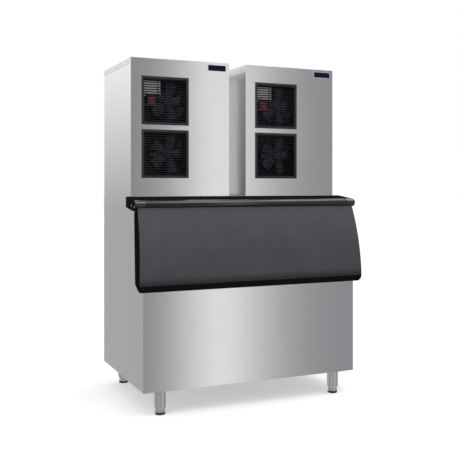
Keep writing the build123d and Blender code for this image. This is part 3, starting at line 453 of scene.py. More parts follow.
def softened(node_name, new_name, radius, finish=None, segments=2):
    """A bevelled copy of a CAD piece that stands for it."""
    node = frame["nodes"][node_name]
    shape = bmesh.new()
    shape.from_mesh(node.data)
    bmesh.ops.remove_doubles(shape, verts=shape.verts, dist=merge_distance)
    bmesh.ops.dissolve_limit(shape, angle_limit=flat_limit, verts=shape.verts, edges=shape.edges)
    mesh = keep_mesh(shape, new_name)
    for layer in list(mesh.uv_layers):
        mesh.uv_layers.remove(layer)
    slot = node_slot[node_name]
    piece = finish_mesh(new_name, mesh, finish or slot_finish[slot], node["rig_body"])
    bevel = piece.modifiers.new("soft_edges", "BEVEL")
    bevel.width = radius
    bevel.segments = segments
    bevel.limit_method = "ANGLE"
    bevel.angle_limit = edge_limit
    bevel.harden_normals = True
    bevel.use_clamp_overlap = True
    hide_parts(node_name)
    return piece


def coat_where(piece, finish, chosen):
    """Give a second finish to the faces that a test picks by their centre and normal."""
    piece.data.materials.append(finishes[finish])
    count = 0
    for polygon in piece.data.polygons:
        if chosen(polygon.center, polygon.normal):
            polygon.material_index = 1
            count += 1
    return count


print("helpers for pieces are ready")

# %% [markdown]
# ## Which pieces are softened
# One radius for everything would look wrong. Bent sheet keeps a tight edge, while plastic is rounded
# so that it leaves its mould, and drawn tube lies between. So each kind of part has a radius of its own.

# %% Skins with softened edges
hands = ("left", "right")
corners = ("front_left", "front_right", "rear_left", "rear_right")
sheet_edge, moulded_edge, leg_edge = 0.0005, 0.0015, 0.0012
caps = []
for hand in hands:
    softened(f"front_panel_{hand}", f"head_front_{hand}", sheet_edge)
    softened(f"top_panel_{hand}", f"head_lid_{hand}", sheet_edge, finish="brushed_lid")
    softened(f"cabinet_{hand}", f"head_casing_{hand}", sheet_edge)
    softened(f"bin_side_{hand}", f"bin_cheek_{hand}", sheet_edge)
    caps.append(softened(f"hinge_end_{hand}", f"hinge_cap_{hand}", moulded_edge, segments=3))
softened("bin_front_panel", "bin_front", sheet_edge)
softened("bin_back_panel", "bin_back", sheet_edge)
softened("hood", "hood_cover", moulded_edge, segments=3)
for corner in corners:
    softened(f"leg_{corner}", f"leg_tube_{corner}", leg_edge, segments=3)

# %% [markdown]
# ## Knuckles of the end caps
# Each end cap carries a round knuckle in line with the door's barrel, glossier than the cap round it.
# A CAD mesh has no names for its faces, so they are picked by their distance from the hinge's axis.

# %% Knuckles
bin_front_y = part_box("bin_front_panel")[0].y
barrel_y, barrel_z = 0.050, 1.062
barrel_radius = 0.021
knuckle_reach = 0.003
side_turn = 0.6
axis_y = bin_front_y + barrel_y


def on_knuckle(at, normal):
    """True for a face on the front half of the round knuckle, but not for the cap's flat sides."""
    off = abs(math.hypot(at.y - axis_y, at.z - barrel_z) - barrel_radius)
    return off < knuckle_reach and abs(normal.x) < side_turn and at.y < axis_y


for cap in caps:
    print(cap.name, "knuckle faces:", coat_where(cap, "knuckle_black", on_knuckle))

# %% [markdown]
# ## Door
# The door is one vacuum-formed shell: a face that bows slightly, a lip that curls under as a
# handhold, and two cheeks that close the sides over the sloping mouth. A bent plane would not follow
# the cheeks, and sculpting would not repeat. So a grid of points follows the side view from the
# barrel to the lip, and each row of it runs round both cheeks.

# %% Side view of the door
barrel_centre = Vector((barrel_y, barrel_z))
lip_centre = Vector((0.006, 0.668))
lip_radius = 0.048
lip_end = math.radians(240)
top_turn = math.radians(235)
bow_steps, curl_steps = 26, 14


def on_circle(centre, radius, angle):
    """A point on a circle in the side view: distance behind the bin's front, then height."""
    return centre + radius * Vector((math.cos(angle), math.sin(angle)))


top = on_circle(barrel_centre, barrel_radius, top_turn)
knee = on_circle(lip_centre, lip_radius, math.pi)
chord = top - knee
bow_radius = chord.length_squared / (2 * chord.x)
bow_centre = knee + Vector((bow_radius, 0))
bow_start = math.atan2(top.y - bow_centre.y, top.x - bow_centre.x) % (2 * math.pi)
profile = []
for step in range(bow_steps):
    turn = bow_start + (math.pi - bow_start) * step / bow_steps
    profile.append(on_circle(bow_centre, bow_radius, turn))
for step in range(curl_steps + 1):
    turn = math.pi + (lip_end - math.pi) * step / curl_steps
    profile.append(on_circle(lip_centre, lip_radius, turn))
print("door profile:", len(profile), "points from", profile[0][:], "to", profile[-1][:])

# %% [markdown]
# ## Rows round the door
# The cheeks could be pieces of their own, but then a seam would show where they meet the face. So
# each row starts at the right cheek's rear edge, turns round a small radius, crosses the face and
# goes back along the left cheek. A few points give the line at which the cheeks end over the mouth.

# %% Rows of the door shell
cheek_line = [
    (1.045, (0.058, 1.042)),
    (1.034, (0.083, 1.026)),
    (1.020, (0.091, 1.020)),
    (0.664, (0.033, 0.665)),
    (0.642, (-0.004, 0.648)),
    (0.6262, (-0.014, 0.634)),
]
door_half_top = 0.630
door_flare = 0.0342
door_corner = 0.014
door_edge = 0.009
cheek_steps, edge_steps, face_steps = 4, 5, 10


def cheek_point(height):
    """Where a row ends on the cheek's rear edge, for the height at which it starts on the face."""
    for (high, top), (low, bottom) in zip(cheek_line, cheek_line[1:]):
        if height >= low:
            share = min(1.0, (high - height) / (high - low))
            return Vector(top).lerp(Vector(bottom), share)
    return Vector(cheek_line[-1][1])


def half_width(height):
    """Half of the door's width at a height: a slight flare, then round lower corners."""
    width = door_half_top + door_flare * (profile[0].y - height)
    corner = profile[-1].y + door_corner
    if height < corner:
        drop = min(corner - height, door_corner)
        width -= door_corner - math.sqrt(door_corner**2 - drop**2)
    return width


def door_row(point):
    """One row of the shell: right cheek, rounded edge, face, rounded edge, left cheek."""
    inward = cheek_point(point.y) - point
    depth = inward.length
    inward.normalize()
    edge = min(door_edge, depth / 2)
    half = half_width(point.y)
    side = []
    for step in range(cheek_steps + 1):
        side.append((half, point + inward * (depth + (edge - depth) * step / cheek_steps)))
    for step in range(1, edge_steps + 1):
        turn = math.radians(90 - 90 * step / edge_steps)
        across = half - edge + edge * math.sin(turn)
        side.append((across, point + inward * (edge - edge * math.cos(turn))))
    face = [((half - edge) * (1 - 2 * step / face_steps), point) for step in range(1, face_steps)]
    row = side + face + [(-across, at) for across, at in reversed(side)]
    return [Vector((across, bin_front_y + at.x, at.y)) for across, at in row]


door_rows = [door_row(point) for point in profile]
print("door rows:", len(door_rows), "of", len(door_rows[0]), "points")

# %% [markdown]
# ## Wall of the door
# A formed shell is thin and open behind. A Solidify modifier could add its wall, but it would give
# each inner face the finish of the outer one. Built here, every face can be tested by its own place,
# and the cheeks, the inside and the underside of the lip get the near-black finish, as painted shade.

# %% Door shell
door_wall = 0.0038
cheek_turn = 0.75
lip_underside = 0.006


def band(shape, one, two):
    """A closed band of faces between two rings of points."""
    for index in range(len(one)):
        after = (index + 1) % len(one)
        shape.faces.new((one[index], one[after], two[after], two[index]))


def lay_grid(shape, lines, inside_out=False):
    """Faces between neighbouring lines of points."""
    for upper, lower in zip(lines, lines[1:]):
        for index in range(len(upper) - 1):
            around = (upper[index], lower[index], lower[index + 1], upper[index + 1])
            shape.faces.new(around[::-1] if inside_out else around)


def rim_of(lines):
    """The points round the outside of a grid, in order."""
    ends = [line[-1] for line in lines[1:]]
    starts = [line[0] for line in lines[-2:0:-1]]
    return lines[0] + ends + lines[-1][-2::-1] + starts


def closed_mesh(shape, name):
    """Store a closed shape as a mesh whose faces point outwards."""
    bmesh.ops.recalc_face_normals(shape, faces=shape.faces)
    return keep_mesh(shape, name)


def walled_grid(name, rows, wall):
    """Join rows of points into a skin that faces the front, with an inner wall and a rim."""
    shape = bmesh.new()
    outer = [[shape.verts.new(point) for point in row] for row in rows]
    lay_grid(shape, outer)
    bmesh.ops.recalc_face_normals(shape, faces=shape.faces)
    shape.normal_update()
    middle = outer[len(outer) // 2][len(outer[0]) // 2]
    if middle.normal.y > 0:
        bmesh.ops.reverse_faces(shape, faces=shape.faces)
    shape.normal_update()
    inner = [[shape.verts.new(vert.co - vert.normal * wall) for vert in line] for line in outer]
    lay_grid(shape, inner, inside_out=True)
    band(shape, rim_of(outer), rim_of(inner))
    return closed_mesh(shape, name)


def is_shaded_plain(at, normal):
    """True for the faces painted near-black as shade: the cheeks, what lies behind the face and the lip's
    underside.
    """
    behind = at.y > bin_front_y + profile[0].x
    return abs(normal.x) > cheek_turn or behind or at.z < lip_centre.y - lip_underside


shell = walled_grid("door_face", door_rows, door_wall)
door_face = finish_mesh("door_face", shell, "textured_black", "door", 50.0)
# painted shade on the cheeks, the inside and the lip's underside
shaded_plain_faces = coat_where(door_face, "plain_black", is_shaded_plain)
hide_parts("door_shell")
print("door face:", len(shell.polygons), "faces,", shaded_plain_faces, "of them plain")

# %% [markdown]
# ## Door barrel
# The top of the door ends in a barrel that turns between the two end caps on a pin at each end.
# A plain cylinder would have sharp ends and no holes, so its outline is turned round the hinge's
# axis, as on a lathe: from the bottom of one pin hole over the rounded ends to the other hole.

# %% Door barrel
barrel_half = 0.586
barrel_end_round = 0.003
barrel_sides = 64
pin_hole = 0.0081
pin_hole_depth = 0.030


def ring_of(radius, sides, put):
    """Points round a circle, each put in place from its two distances from the middle."""
    turns = [2 * math.pi * step / sides for step in range(sides)]
    return [put(radius * math.cos(turn), radius * math.sin(turn)) for turn in turns]


def bridged(shape, rings):
    """Add rings of points to a shape, with a band of faces from each ring to the next."""
    loops = [[shape.verts.new(point) for point in ring] for ring in rings]
    for one, two in zip(loops, loops[1:]):
        band(shape, one, two)
    return loops


def capped(name, rings):
    """A closed mesh through rings of points, with a face over each end."""
    shape = bmesh.new()
    loops = bridged(shape, rings)
    shape.faces.new(loops[0])
    shape.faces.new(loops[-1])
    return closed_mesh(shape, name)


stations = [(-barrel_half + pin_hole_depth, pin_hole), (-barrel_half, pin_hole)]
for step in range(4):
    turn = math.radians(30 * step)
    inward = barrel_end_round * (1 - math.cos(turn))
    outward = barrel_end_round * math.sin(turn)
    stations.append((-barrel_half + inward, barrel_radius - barrel_end_round + outward))
stations += [(-across, radius) for across, radius in reversed(stations)]
barrel_rings = [
    ring_of(radius, barrel_sides, lambda y, z: (
        across, bin_front_y + barrel_centre.x + y, barrel_centre.y + z
    )) for across, radius in stations
]
barrel_mesh = capped("door_barrel", barrel_rings)
barrel = finish_mesh("door_barrel", barrel_mesh, "barrel_black", "door")
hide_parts("door_shell")
print("door barrel:", len(barrel_rings), "rings of", barrel_sides, "points")

# %% [markdown]
# ## A row of equal parts
# Slats, screws, fins and terminals all stand in straight rows. An Array modifier could repeat them,
# but one Geometry Nodes tree with named inputs serves all of them: a part, a count, a step and a
# finish. Its result becomes a plain mesh at once, because instances would be lost later on.

# %% Repeat a part in a row
row_tree = bpy.data.node_groups.new("row_of_parts", "GeometryNodeTree")
row_inputs = {}
for label, kind in (
    ("Part", "NodeSocketGeometry"),
    ("Count", "NodeSocketInt"),
    ("Step", "NodeSocketVector"),
    ("Finish", "NodeSocketMaterial"),
):
    row_inputs[label] = row_tree.interface.new_socket(label, in_out="INPUT", socket_type=kind)
row_tree.interface.new_socket("Row", in_out="OUTPUT", socket_type="NodeSocketGeometry")
row_in, row_out, line, spread, real, coat = (
    row_tree.nodes.new(kind) for kind in (
        "NodeGroupInput", "NodeGroupOutput", "GeometryNodeMeshLine",
        "GeometryNodeInstanceOnPoints", "GeometryNodeRealizeInstances", "GeometryNodeSetMaterial",
    )
)
line.mode = "OFFSET"
for source, output, target, socket in (
    (row_in, "Count", line, "Count"),
    (row_in, "Step", line, "Offset"),
    (line, "Mesh", spread, "Points"),
    (row_in, "Part", spread, "Instance"),
    (spread, "Instances", real, "Geometry"),
    (real, "Geometry", coat, "Geometry"),
    (row_in, "Finish", coat, "Material"),
    (coat, "Geometry", row_out, "Row"),
):
    row_tree.links.new(source.outputs[output], target.inputs[socket])


def evaluated_mesh(carrier):
    """Link a helper object, keep its finished shape as a plain mesh, and remove the object."""
    scene.collection.objects.link(carrier)
    bpy.context.view_layer.update()
    graph = bpy.context.evaluated_depsgraph_get()
    mesh = bpy.data.meshes.new_from_object(carrier.evaluated_get(graph))
    bpy.data.objects.remove(carrier)
    return mesh


def row_of(name, mesh, count, step, finish):
    """Repeat one part with the row tree and give the plain mesh of the whole row."""
    carrier = bpy.data.objects.new(name, mesh)
    modifier = carrier.modifiers.new("row", "NODES")
    modifier.node_group = row_tree
    modifier[row_inputs["Count"].identifier] = count
    modifier[row_inputs["Step"].identifier] = step
    modifier[row_inputs["Finish"].identifier] = finishes[finish]
    return evaluated_mesh(carrier)


print("row tree:", len(row_tree.nodes), "nodes")

# %% [markdown]
# ## Grilles
# Each opening holds a moulded grille: a proud frame with a rounded lip, tilted slats and two mullions
# behind them. A flat texture of stripes would not let the fans show between the slats. So one slat
# is modelled as a blade with round edges, the row tree repeats it up the opening, and the frame's
# section is swept round the four sides.
# The slats and the mullions are painted darker than the frame, as painted shade inside the opening.

# %% Parts of a grille
slat_count = 18
slat_chord = 0.0095
slat_thick = 0.0024
slat_tilt = math.radians(25)
slat_setback = 0.0075


def long_part(outline, x_low, x_high):
    """A bar along X with a side outline of distance back and height."""
    return capped("long_part", [[(x, y, z) for y, z in outline] for x in (x_low, x_high)])


def slat_outline(y, z):
    """Cross-section of a slat: a thin blade with round edges, tilted down to the front."""
    outline = []
    for end in (-1, 1):
        for turn in (-90, -30, 30, 90):
            angle = math.radians(turn)
            back = end * (slat_chord / 2 - slat_thick / 2) + end * slat_thick / 2 * math.cos(angle)
            up = end * slat_thick / 2 * math.sin(angle)
            outline.append((
                y + back * math.cos(slat_tilt) - up * math.sin(slat_tilt),
                z - back * math.sin(slat_tilt) - up * math.cos(slat_tilt),
            ))
    return outline


def swept_frame(name, low, high, section):
    """A frame in the XZ plane: each section point is a distance inwards and a place along Y."""
    rings = []
    for inward, y in section:
        left, right = low.x + inward, high.x - inward
        bottom, top = low.z + inward, high.z - inward
        rings.append([(left, y, bottom), (right, y, bottom), (right, y, top), (left, y, top)])
    shape = bmesh.new()
    loops = bridged(shape, rings)
    band(shape, loops[-1], loops[0])
    return closed_mesh(shape, name)


def joined(name, meshes):
    """One mesh from several."""
    shape = bmesh.new()
    for mesh in meshes:
        shape.from_mesh(mesh)
    return keep_mesh(shape, name)


print("slats for each grille:", slat_count)

# %% [markdown]
# ## Putting a grille together
# The frame's lip laps over the sheet round the opening, and the rest passes through it. Its section
# is a short list of points, each a distance inwards and a distance behind the front. Modelling four
# grilles one by one would let them drift apart, so one function builds each from its CAD piece's box.

# %% Grilles
border = 0.014
lap = 0.0063
lip_depth = 0.0025
lip_section = [
    (0.0, lip_depth), (0.0, 0.0016), (0.0005, 0.0007), (0.0016, 0.0),
    (border - 0.0022, 0.0), (border - 0.0008, 0.0006), (border, 0.0020),
]
mullion_half = 0.0015
mullion_depth = 0.003
mullion_overlap = 0.001


def build_grille(node_name, new_name):
    """A whole grille in the place of its CAD piece."""
    low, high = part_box(node_name)
    front, back = low.y, high.y
    clear_low = low.z + border
    clear_height = high.z - low.z - 2 * border
    pitch = clear_height / slat_count
    outline = slat_outline(front + slat_setback, clear_low + pitch / 2)
    first = long_part(outline, low.x + border, high.x - border)
    slats = row_of("slats", first, slat_count, (0, 0, pitch), "slat_black")
    section = [(inward, front + behind) for inward, behind in lip_section]
    section += [(border, back), (lap, back), (lap, front + lip_depth)]
    frame_mesh = swept_frame("frame", low, high, section)
    foot = clear_low - mullion_overlap
    head = clear_low + clear_height + mullion_overlap
    outline = [(back, foot), (back - mullion_depth, foot), (back - mullion_depth, head), (back, head)]
    mullions = []
    for share in (1 / 3, 2 / 3):
        middle = low.x + border + (high.x - low.x - 2 * border) * share
        mullions.append(long_part(outline, middle - mullion_half, middle + mullion_half))
    whole = joined(new_name, [frame_mesh, slats, *mullions])
    piece = finish_mesh(new_name, whole, "grille_black", "root")
    # painted shade: the slats and mullions take the darker finish
    piece.data.materials.append(finishes["slat_black"])
    for polygon in piece.data.polygons[len(frame_mesh.polygons):]:
        polygon.material_index = 1
    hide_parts(node_name)
    return piece


for hand in hands:
    for level in ("upper", "lower"):
        made = build_grille(f"{level}_grille_{hand}", f"{level}_air_grille_{hand}")
        print(made.name, len(made.data.polygons), "faces")

# %% [markdown]
# ## Levelling feet
# A foot is turned metal with a groove near its base, a stem that slides up inside the leg, and a
# rubber pad under it. Both outlines are turned round the foot's own axis. The pad is a piece of its
# own, because rubber and polished steel need different finishes.

# %% Feet
foot_sides = 56
pad_top = 0.011
body_top = 0.066
body_round = 0.0015
stem_radius = 0.0080
stem_chamfer = 0.0010
body_outline = (
    (0.0030, 0.0), (0.0006, 0.0008), (0.0, 0.0022), (0.0, 0.0100),
    (0.0022, 0.0118), (0.0022, 0.0150), (0.0, 0.0168),
)
pad_outline = (
    (0.0035, 0.0), (0.0018, 0.0010), (0.0006, 0.0040), (0.0008, pad_top - 0.0008), (0.0016, pad_top),
)


def turned_foot_part(name, node_name, outline, finish):
    """Turn an outline of radius and height round a foot's axis, as a piece that stands for it."""
    low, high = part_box(node_name)
    centre = (low + high) / 2
    rings = [
        ring_of(radius, foot_sides, lambda x, y: (centre.x + x, centre.y + y, height))
        for radius, height in outline
    ]
    piece = finish_mesh(name, capped(name, rings), finish, node_name)
    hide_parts(node_name)


for corner in corners:
    node_name = f"foot_{corner}"
    low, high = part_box(node_name)
    radius = (high.x - low.x) / 2
    outline = [(radius - inward, pad_top + up) for inward, up in body_outline]
    outline += [(radius, body_top - body_round), (radius - body_round, body_top), (stem_radius, body_top)]
    outline += [(stem_radius, high.z - stem_chamfer), (stem_radius - stem_chamfer, high.z)]
    turned_foot_part(f"foot_body_{corner}", node_name, outline, "polished_foot")
    outline = [(radius - inward, up) for inward, up in pad_outline]
    turned_foot_part(f"foot_pad_{corner}", node_name, outline, "seal_rubber_black")
print("feet:", len(corners))

# %% [markdown]
# ## Screws
# Sheet panels are held by pan-head screws with a cross recess, in straight rows along their edges.
# Bump alone would leave them flat in the outline. So one screw is modelled
# with few faces, a low dome with a sunk cross, and the row tree repeats it.

# %% Screw head
screw_radius = 0.0042
screw_rise = 0.0018
screw_sides = 16
dome = ((0.0, 1.0), (0.45, 0.97), (0.85, 0.78), (1.0, 0.50))
cross_arm, cross_notch = 0.42, 0.14
cross_level, pit_level = 0.97, 0.3


def screw_head(place, facing):
    """A pan head with a cross recess, on a surface that faces the given way."""
    rings = [
        ring_of(share * screw_radius, screw_sides, lambda x, y: (x, y, rise * screw_rise))
        for rise, share in dome
    ]
    cross = []
    for step in range(screw_sides):
        turn = 2 * math.pi * step / screw_sides
        reach = (cross_arm if step % 4 == 0 else cross_notch) * screw_radius
        cross.append((reach * math.cos(turn), reach * math.sin(turn), screw_rise * cross_level))
    shape = bmesh.new()
    loops = bridged(shape, rings + [cross])
    pit = shape.verts.new((0, 0, screw_rise * pit_level))
    for step in range(screw_sides):
        shape.faces.new((loops[-1][step], loops[-1][(step + 1) % screw_sides], pit))
    shape.faces.new(loops[0])
    mesh = closed_mesh(shape, "screw")
    turn = Vector(facing).to_track_quat("Z", "Y").to_matrix().to_4x4()
    mesh.transform(Matrix.Translation(place) @ turn)
    return mesh


def screw_rows(name, rows):
    """Rows of screws as one piece: each row has a first place, a facing, a count and a step."""
    meshes = [
        row_of("screws", screw_head(place, facing), count, step, "screw_steel")
        for place, facing, count, step in rows
    ]
    finish_mesh(name, joined(name, meshes), "screw_steel", "root")
    return sum(row[2] for row in rows)


facing_left, facing_right, facing_rear, facing_down = (-1, 0, 0), (1, 0, 0), (0, 1, 0), (0, 0, -1)
print("screw head:", 2 * screw_radius * 1000, "mm wide")

# %% [markdown]
# ## Screws on the heads and end caps
# On the heads the rows run along the edges of the cabinets and the lids at fixed insets, so that they
# would move with the sheets. Typed places would not. Each end cap has two single screws in its side.
# Those on the back are guessed, because the photograph doesn't show it.

# %% Screws of the heads and end caps
inset = 0.020
casing_depth = 0.5588
casing_spare = 0.03
lid_back_drop, lid_side_drop = 0.015, 0.016
lid_first, lid_step = 0.060, 0.220
cap_places = ((0.0416, 1.0500), (0.0910, 1.0560))
screw_total = 0
for hand in hands:
    low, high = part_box(f"cabinet_{hand}")
    lid_low, lid_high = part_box(f"top_panel_{hand}")
    rise = (high.z - low.z - 2 * inset - casing_spare) / 4
    along = (high.x - low.x - 2 * inset) / 4
    back = low.y + casing_depth
    bottom = low.z + inset
    lid_y, lid_z = lid_low.y + lid_first, lid_high.z - lid_side_drop
    screw_total += screw_rows(f"head_screws_{hand}", [
        ((low.x + inset, back, bottom), facing_rear, 5, (0, 0, rise)),
        ((high.x - inset, back, bottom), facing_rear, 5, (0, 0, rise)),
        ((low.x + inset + along, back, bottom), facing_rear, 3, (along, 0, 0)),
        ((lid_low.x + inset, lid_high.y, lid_high.z - lid_back_drop), facing_rear, 5, (along, 0, 0)),
        ((lid_low.x, lid_y, lid_z), facing_left, 3, (0, lid_step, 0)),
        ((lid_high.x, lid_y, lid_z), facing_right, 3, (0, lid_step, 0)),
    ])
    cap_low, cap_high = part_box(f"hinge_end_{hand}")
    face_x, facing = (cap_low.x, facing_left) if hand == "left" else (cap_high.x, facing_right)
    screw_total += screw_rows(f"cap_screws_{hand}", [
        ((face_x, bin_front_y + y, z), facing, 1, (0, 0, 0)) for y, z in cap_places
    ])
print("screws on the heads and end caps:", screw_total)

# %% [markdown]
# ## Screws on the back and the legs
# The back sheet has a row down each side and one along its top and its foot. Each leg's plate is
# held by four screws from below. They are rows too, so the same helper makes them as two pieces.

# %% Screws of the back and the leg plates
back_inset = 0.025
back_step_up, back_step_along, back_first = 0.154, 0.197, 0.215
leg_inset = 0.010
leg_plate = 0.004
low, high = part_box("bin_back_panel")
screw_total += screw_rows("back_screws", [
    ((low.x + back_inset, high.y, low.z + back_inset), facing_rear, 7, (0, 0, back_step_up)),
    ((high.x - back_inset, high.y, low.z + back_inset), facing_rear, 7, (0, 0, back_step_up)),
    ((low.x + back_first, high.y, low.z + back_inset), facing_rear, 5, (back_step_along, 0, 0)),
    ((low.x + back_first, high.y, high.z - back_inset), facing_rear, 5, (back_step_along, 0, 0)),
])
rows = []
for corner in corners:
    low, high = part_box(f"leg_{corner}")
    step = (0, high.y - low.y - 2 * leg_inset, 0)
    for x in (low.x + leg_inset, high.x - leg_inset):
        rows.append(((x, low.y + leg_inset, high.z - leg_plate), facing_down, 2, step))
screw_total += screw_rows("leg_screws", rows)
print("screws in all:", screw_total)

# %% [markdown]
# ## Condenser
# The condenser is a block of thin aluminium fins pressed onto copper tubes, with bends at one end.
# A solid block would look dead behind the grille. The row tree lays one fin after another, so that
# light falls between them, and each bend is a round curve turned into a mesh.

# %% Fins and tubes
fin_count = 88
fin_thick = 0.0007
fin_margin_y, fin_margin_z = 0.001, 0.002
end_plate = 0.0015
bend_room, bend_wall = 0.016, 0.004
tube_start = 0.002
tube_radius = 0.0045
bend_count = 6
tube_gap = 0.050
bend_half = 0.0125


def chamfered_block(low, high, cut):
    """A block with all its edges cut back a little."""
    shape = bmesh.new()
    bmesh.ops.create_cube(shape, size=1.0)
    for vert in shape.verts:
        for axis in range(3):
            vert.co[axis] = high[axis] if vert.co[axis] > 0 else low[axis]
    bmesh.ops.bevel(shape, geom=shape.edges[:], offset=cut, segments=1, affect="EDGES")
    return keep_mesh(shape, "block")


def tube_mesh(points, radius, roundness):
    """A round tube through a few points, with its corners rounded by a smooth curve."""
    curve = bpy.data.curves.new("tube", "CURVE")
    curve.dimensions = "3D"
    curve.bevel_depth = radius
    curve.bevel_resolution = roundness
    curve.use_fill_caps = True
    spline = curve.splines.new("NURBS")
    spline.points.add(len(points) - 1)
    for point, place in zip(spline.points, points):
        point.co = (*place, 1.0)
    spline.order_u = 3
    spline.use_endpoint_u = True
    return evaluated_mesh(bpy.data.objects.new("tube", curve))


def build_condenser(hand):
    """Fins, end plates, tubes and return bends in the place of the CAD core."""
    low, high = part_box(f"condenser_{hand}")
    right = high.x - bend_room
    fins_left = low.x + end_plate
    pitch = (right - low.x - 2 * end_plate) / fin_count
    fin = chamfered_block(
        (fins_left, low.y + fin_margin_y, low.z + fin_margin_z),
        (fins_left + fin_thick, high.y - fin_margin_y, high.z - fin_margin_z), 0.0002,
    )
    fins = row_of("fins", fin, fin_count, (pitch, 0, 0), "fin_aluminium")
    ends = [
        chamfered_block((left, low.y, low.z), (edge, high.y, high.z), 0.0003)
        for left, edge in ((low.x, fins_left), (right - end_plate, right))
    ]
    core = joined("fins", [fins, *ends])
    middle = (low.y + high.y) / 2
    left, outer = low.x + tube_start, high.x - bend_wall
    bends = []
    for index in range(bend_count):
        height = low.z + tube_gap * (2 * index + 1)
        lower, upper = height - bend_half, height + bend_half
        route = (
            (left, lower), (right, lower), (outer, lower),
            (outer, upper), (right, upper), (left, upper),
        )
        bends.append(tube_mesh([(x, middle, z) for x, z in route], tube_radius, 3))
    for name, mesh, finish in (
        (f"condenser_fins_{hand}", core, "fin_aluminium"),
        (f"condenser_tubes_{hand}", joined("tubes", bends), "copper_tube"),
    ):
        piece = finish_mesh(name, mesh, finish, "root")
        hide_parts(f"condenser_{hand}")
        print(name, len(mesh.polygons), "faces")


for hand in hands:
    build_condenser(hand)

# %% [markdown]
# ## Wires and terminals
# Under the electrical box sits a narrow green board with a row of white terminals, and thin red
# leads run from it to the relay. They lie close behind the slats, so their colours show through.
# Each lead is a curve through five points, because a wire bends evenly and has no corners.

# %% Board, terminals and leads
terminal_count, terminal_pitch = 6, 0.0105
lead_count, lead_radius = 5, 0.0014
relay_pitch = 0.0075


def shifted(corner, x, y, z):
    """A corner moved by a distance along each axis."""
    return Vector((corner.x + x, corner.y + y, corner.z + z))


for hand in hands:
    box_low, box_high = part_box(f"control_box_{hand}")
    relay_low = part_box(f"contactor_{hand}")[0]
    board_low = shifted(box_low, 0.022, 0.004, -0.0035)
    board_high = Vector((box_high.x - 0.006, box_high.y - 0.006, box_low.z))
    board = chamfered_block(board_low, board_high, 0.0004)
    finish_mesh(f"terminal_board_{hand}", board, "board_green", "root")
    first = chamfered_block(
        shifted(board_low, 0.004, 0.002, -0.0085), shifted(board_low, 0.011, 0.012, 0.0), 0.0008
    )
    terminals = row_of("terminals", first, terminal_count, (terminal_pitch, 0, 0), "white_moulded")
    finish_mesh(f"terminals_{hand}", terminals, "white_moulded", "root")
    front, top = board_low.y + 0.007, board_low.z - 0.007
    leads = []
    for index in range(lead_count):
        start_x = board_low.x + 0.0075 + terminal_pitch * index
        end_x = relay_low.x + 0.006 + relay_pitch * index
        route = [
            (start_x, front, top),
            (start_x, front - 0.002, top - 0.020 - 0.004 * index),
            (start_x + 0.4 * (end_x - start_x), front - 0.001, top - 0.038 - 0.003 * index),
            (end_x, front + 0.004, relay_low.z - 0.012 + 0.002 * index),
            (end_x, relay_low.y + 0.008, relay_low.z + 0.001),
        ]
        leads.append(tube_mesh(route, lead_radius, 2))
    finish_mesh(f"red_leads_{hand}", joined("leads", leads), "wire_red", "root", 60.0)
print("leads for each head:", lead_count)

# %% [markdown]
# ## Badge plates
# The plates at the top right of each head are left bare: dark enamel with a pale line round the edge.
# Two thin plates with round corners, one on the other, give the line a real step that catches light.

# %% Badge plates
plate_left, plate_right = 0.433, 0.540
plate_low, plate_high = 0.682, 0.716
line_width = 0.0016
corner_steps = 5


def rounded_plate(name, x_low, x_high, z_low, z_high, y_back, thick, corner):
    """A flat plate facing -Y with round corners and a small chamfer round its face."""
    chamfer = thick * 0.4
    rings = []
    for inward, y in ((0.0, y_back), (0.0, y_back - thick + chamfer), (chamfer, y_back - thick)):
        ring = []
        for x, z, first in (
            (x_high - corner, z_high - corner, 0),
            (x_low + corner, z_high - corner, 90),
            (x_low + corner, z_low + corner, 180),
            (x_high - corner, z_low + corner, 270),
        ):
            for step in range(corner_steps + 1):
                turn = math.radians(first + 90 * step / corner_steps)
                reach = corner - inward
                ring.append((x + reach * math.cos(turn), y, z + reach * math.sin(turn)))
        rings.append(ring)
    return capped(name, rings)


for hand in hands:
    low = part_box(f"front_panel_{hand}")[0]
    x_low, x_high = low.x + plate_left, low.x + plate_right
    z_low, z_high = low.z + plate_low, low.z + plate_high
    trim = rounded_plate(f"plate_trim_{hand}", x_low, x_high, z_low, z_high, low.y, 0.0012, 0.003)
    finish_mesh(f"plate_trim_{hand}", trim, "plate_trim", "root")
    field = rounded_plate(
        f"plate_field_{hand}", x_low + line_width, x_high - line_width, z_low + line_width,
        z_high - line_width, low.y - 0.0010, 0.0006, 0.002,
    )
    finish_mesh(f"plate_field_{hand}", field, "plate_enamel", "root")
print("badge plates:", len(hands))

# %% [markdown]
# ## Floor
# The photograph stands on plain white. More light on a white floor would burn out the object too, so
# the floor is pale paint that glows a little for the camera alone, and it keeps the soft shadow.
# It is left out of reflections, where the room's own levels shape the steel.

# %% Floor
floor_half = 30.0
camera_glow = 0.36
floor_paint = new_finish("floor_paint", (0.90, 0.90, 0.90), 0.9, Emission_Color=(1, 1, 1, 1))
seen_first = floor_paint.node_tree.nodes.new("ShaderNodeLightPath")
glow = floor_paint.node_tree.nodes.new("ShaderNodeMath")
glow.operation = "MULTIPLY"
glow.inputs[1].default_value = camera_glow
floor_paint.node_tree.links.new(seen_first.outputs["Is Camera Ray"], glow.inputs[0])
feed(floor_paint, "Emission Strength", glow.outputs["Value"])
drive_roughness(floor_paint, effect(floor_paint, marks_group, (1.0, 1.0, 1.0)), 0.85, 0.95)

floor_mesh = bpy.data.meshes.new("floor")
floor_corners = [(x * floor_half, y * floor_half, 0) for x, y in ((1, 1), (-1, 1), (-1, -1), (1, -1))]
floor_mesh.from_pydata(floor_corners, [], [(0, 1, 2, 3)])
floor_mesh.materials.append(floor_paint)
floor = bpy.data.objects.new("floor", floor_mesh)
floor.visible_glossy = False
scene.collection.objects.link(floor)
floor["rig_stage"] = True
print("floor:", 2 * floor_half, "m wide")

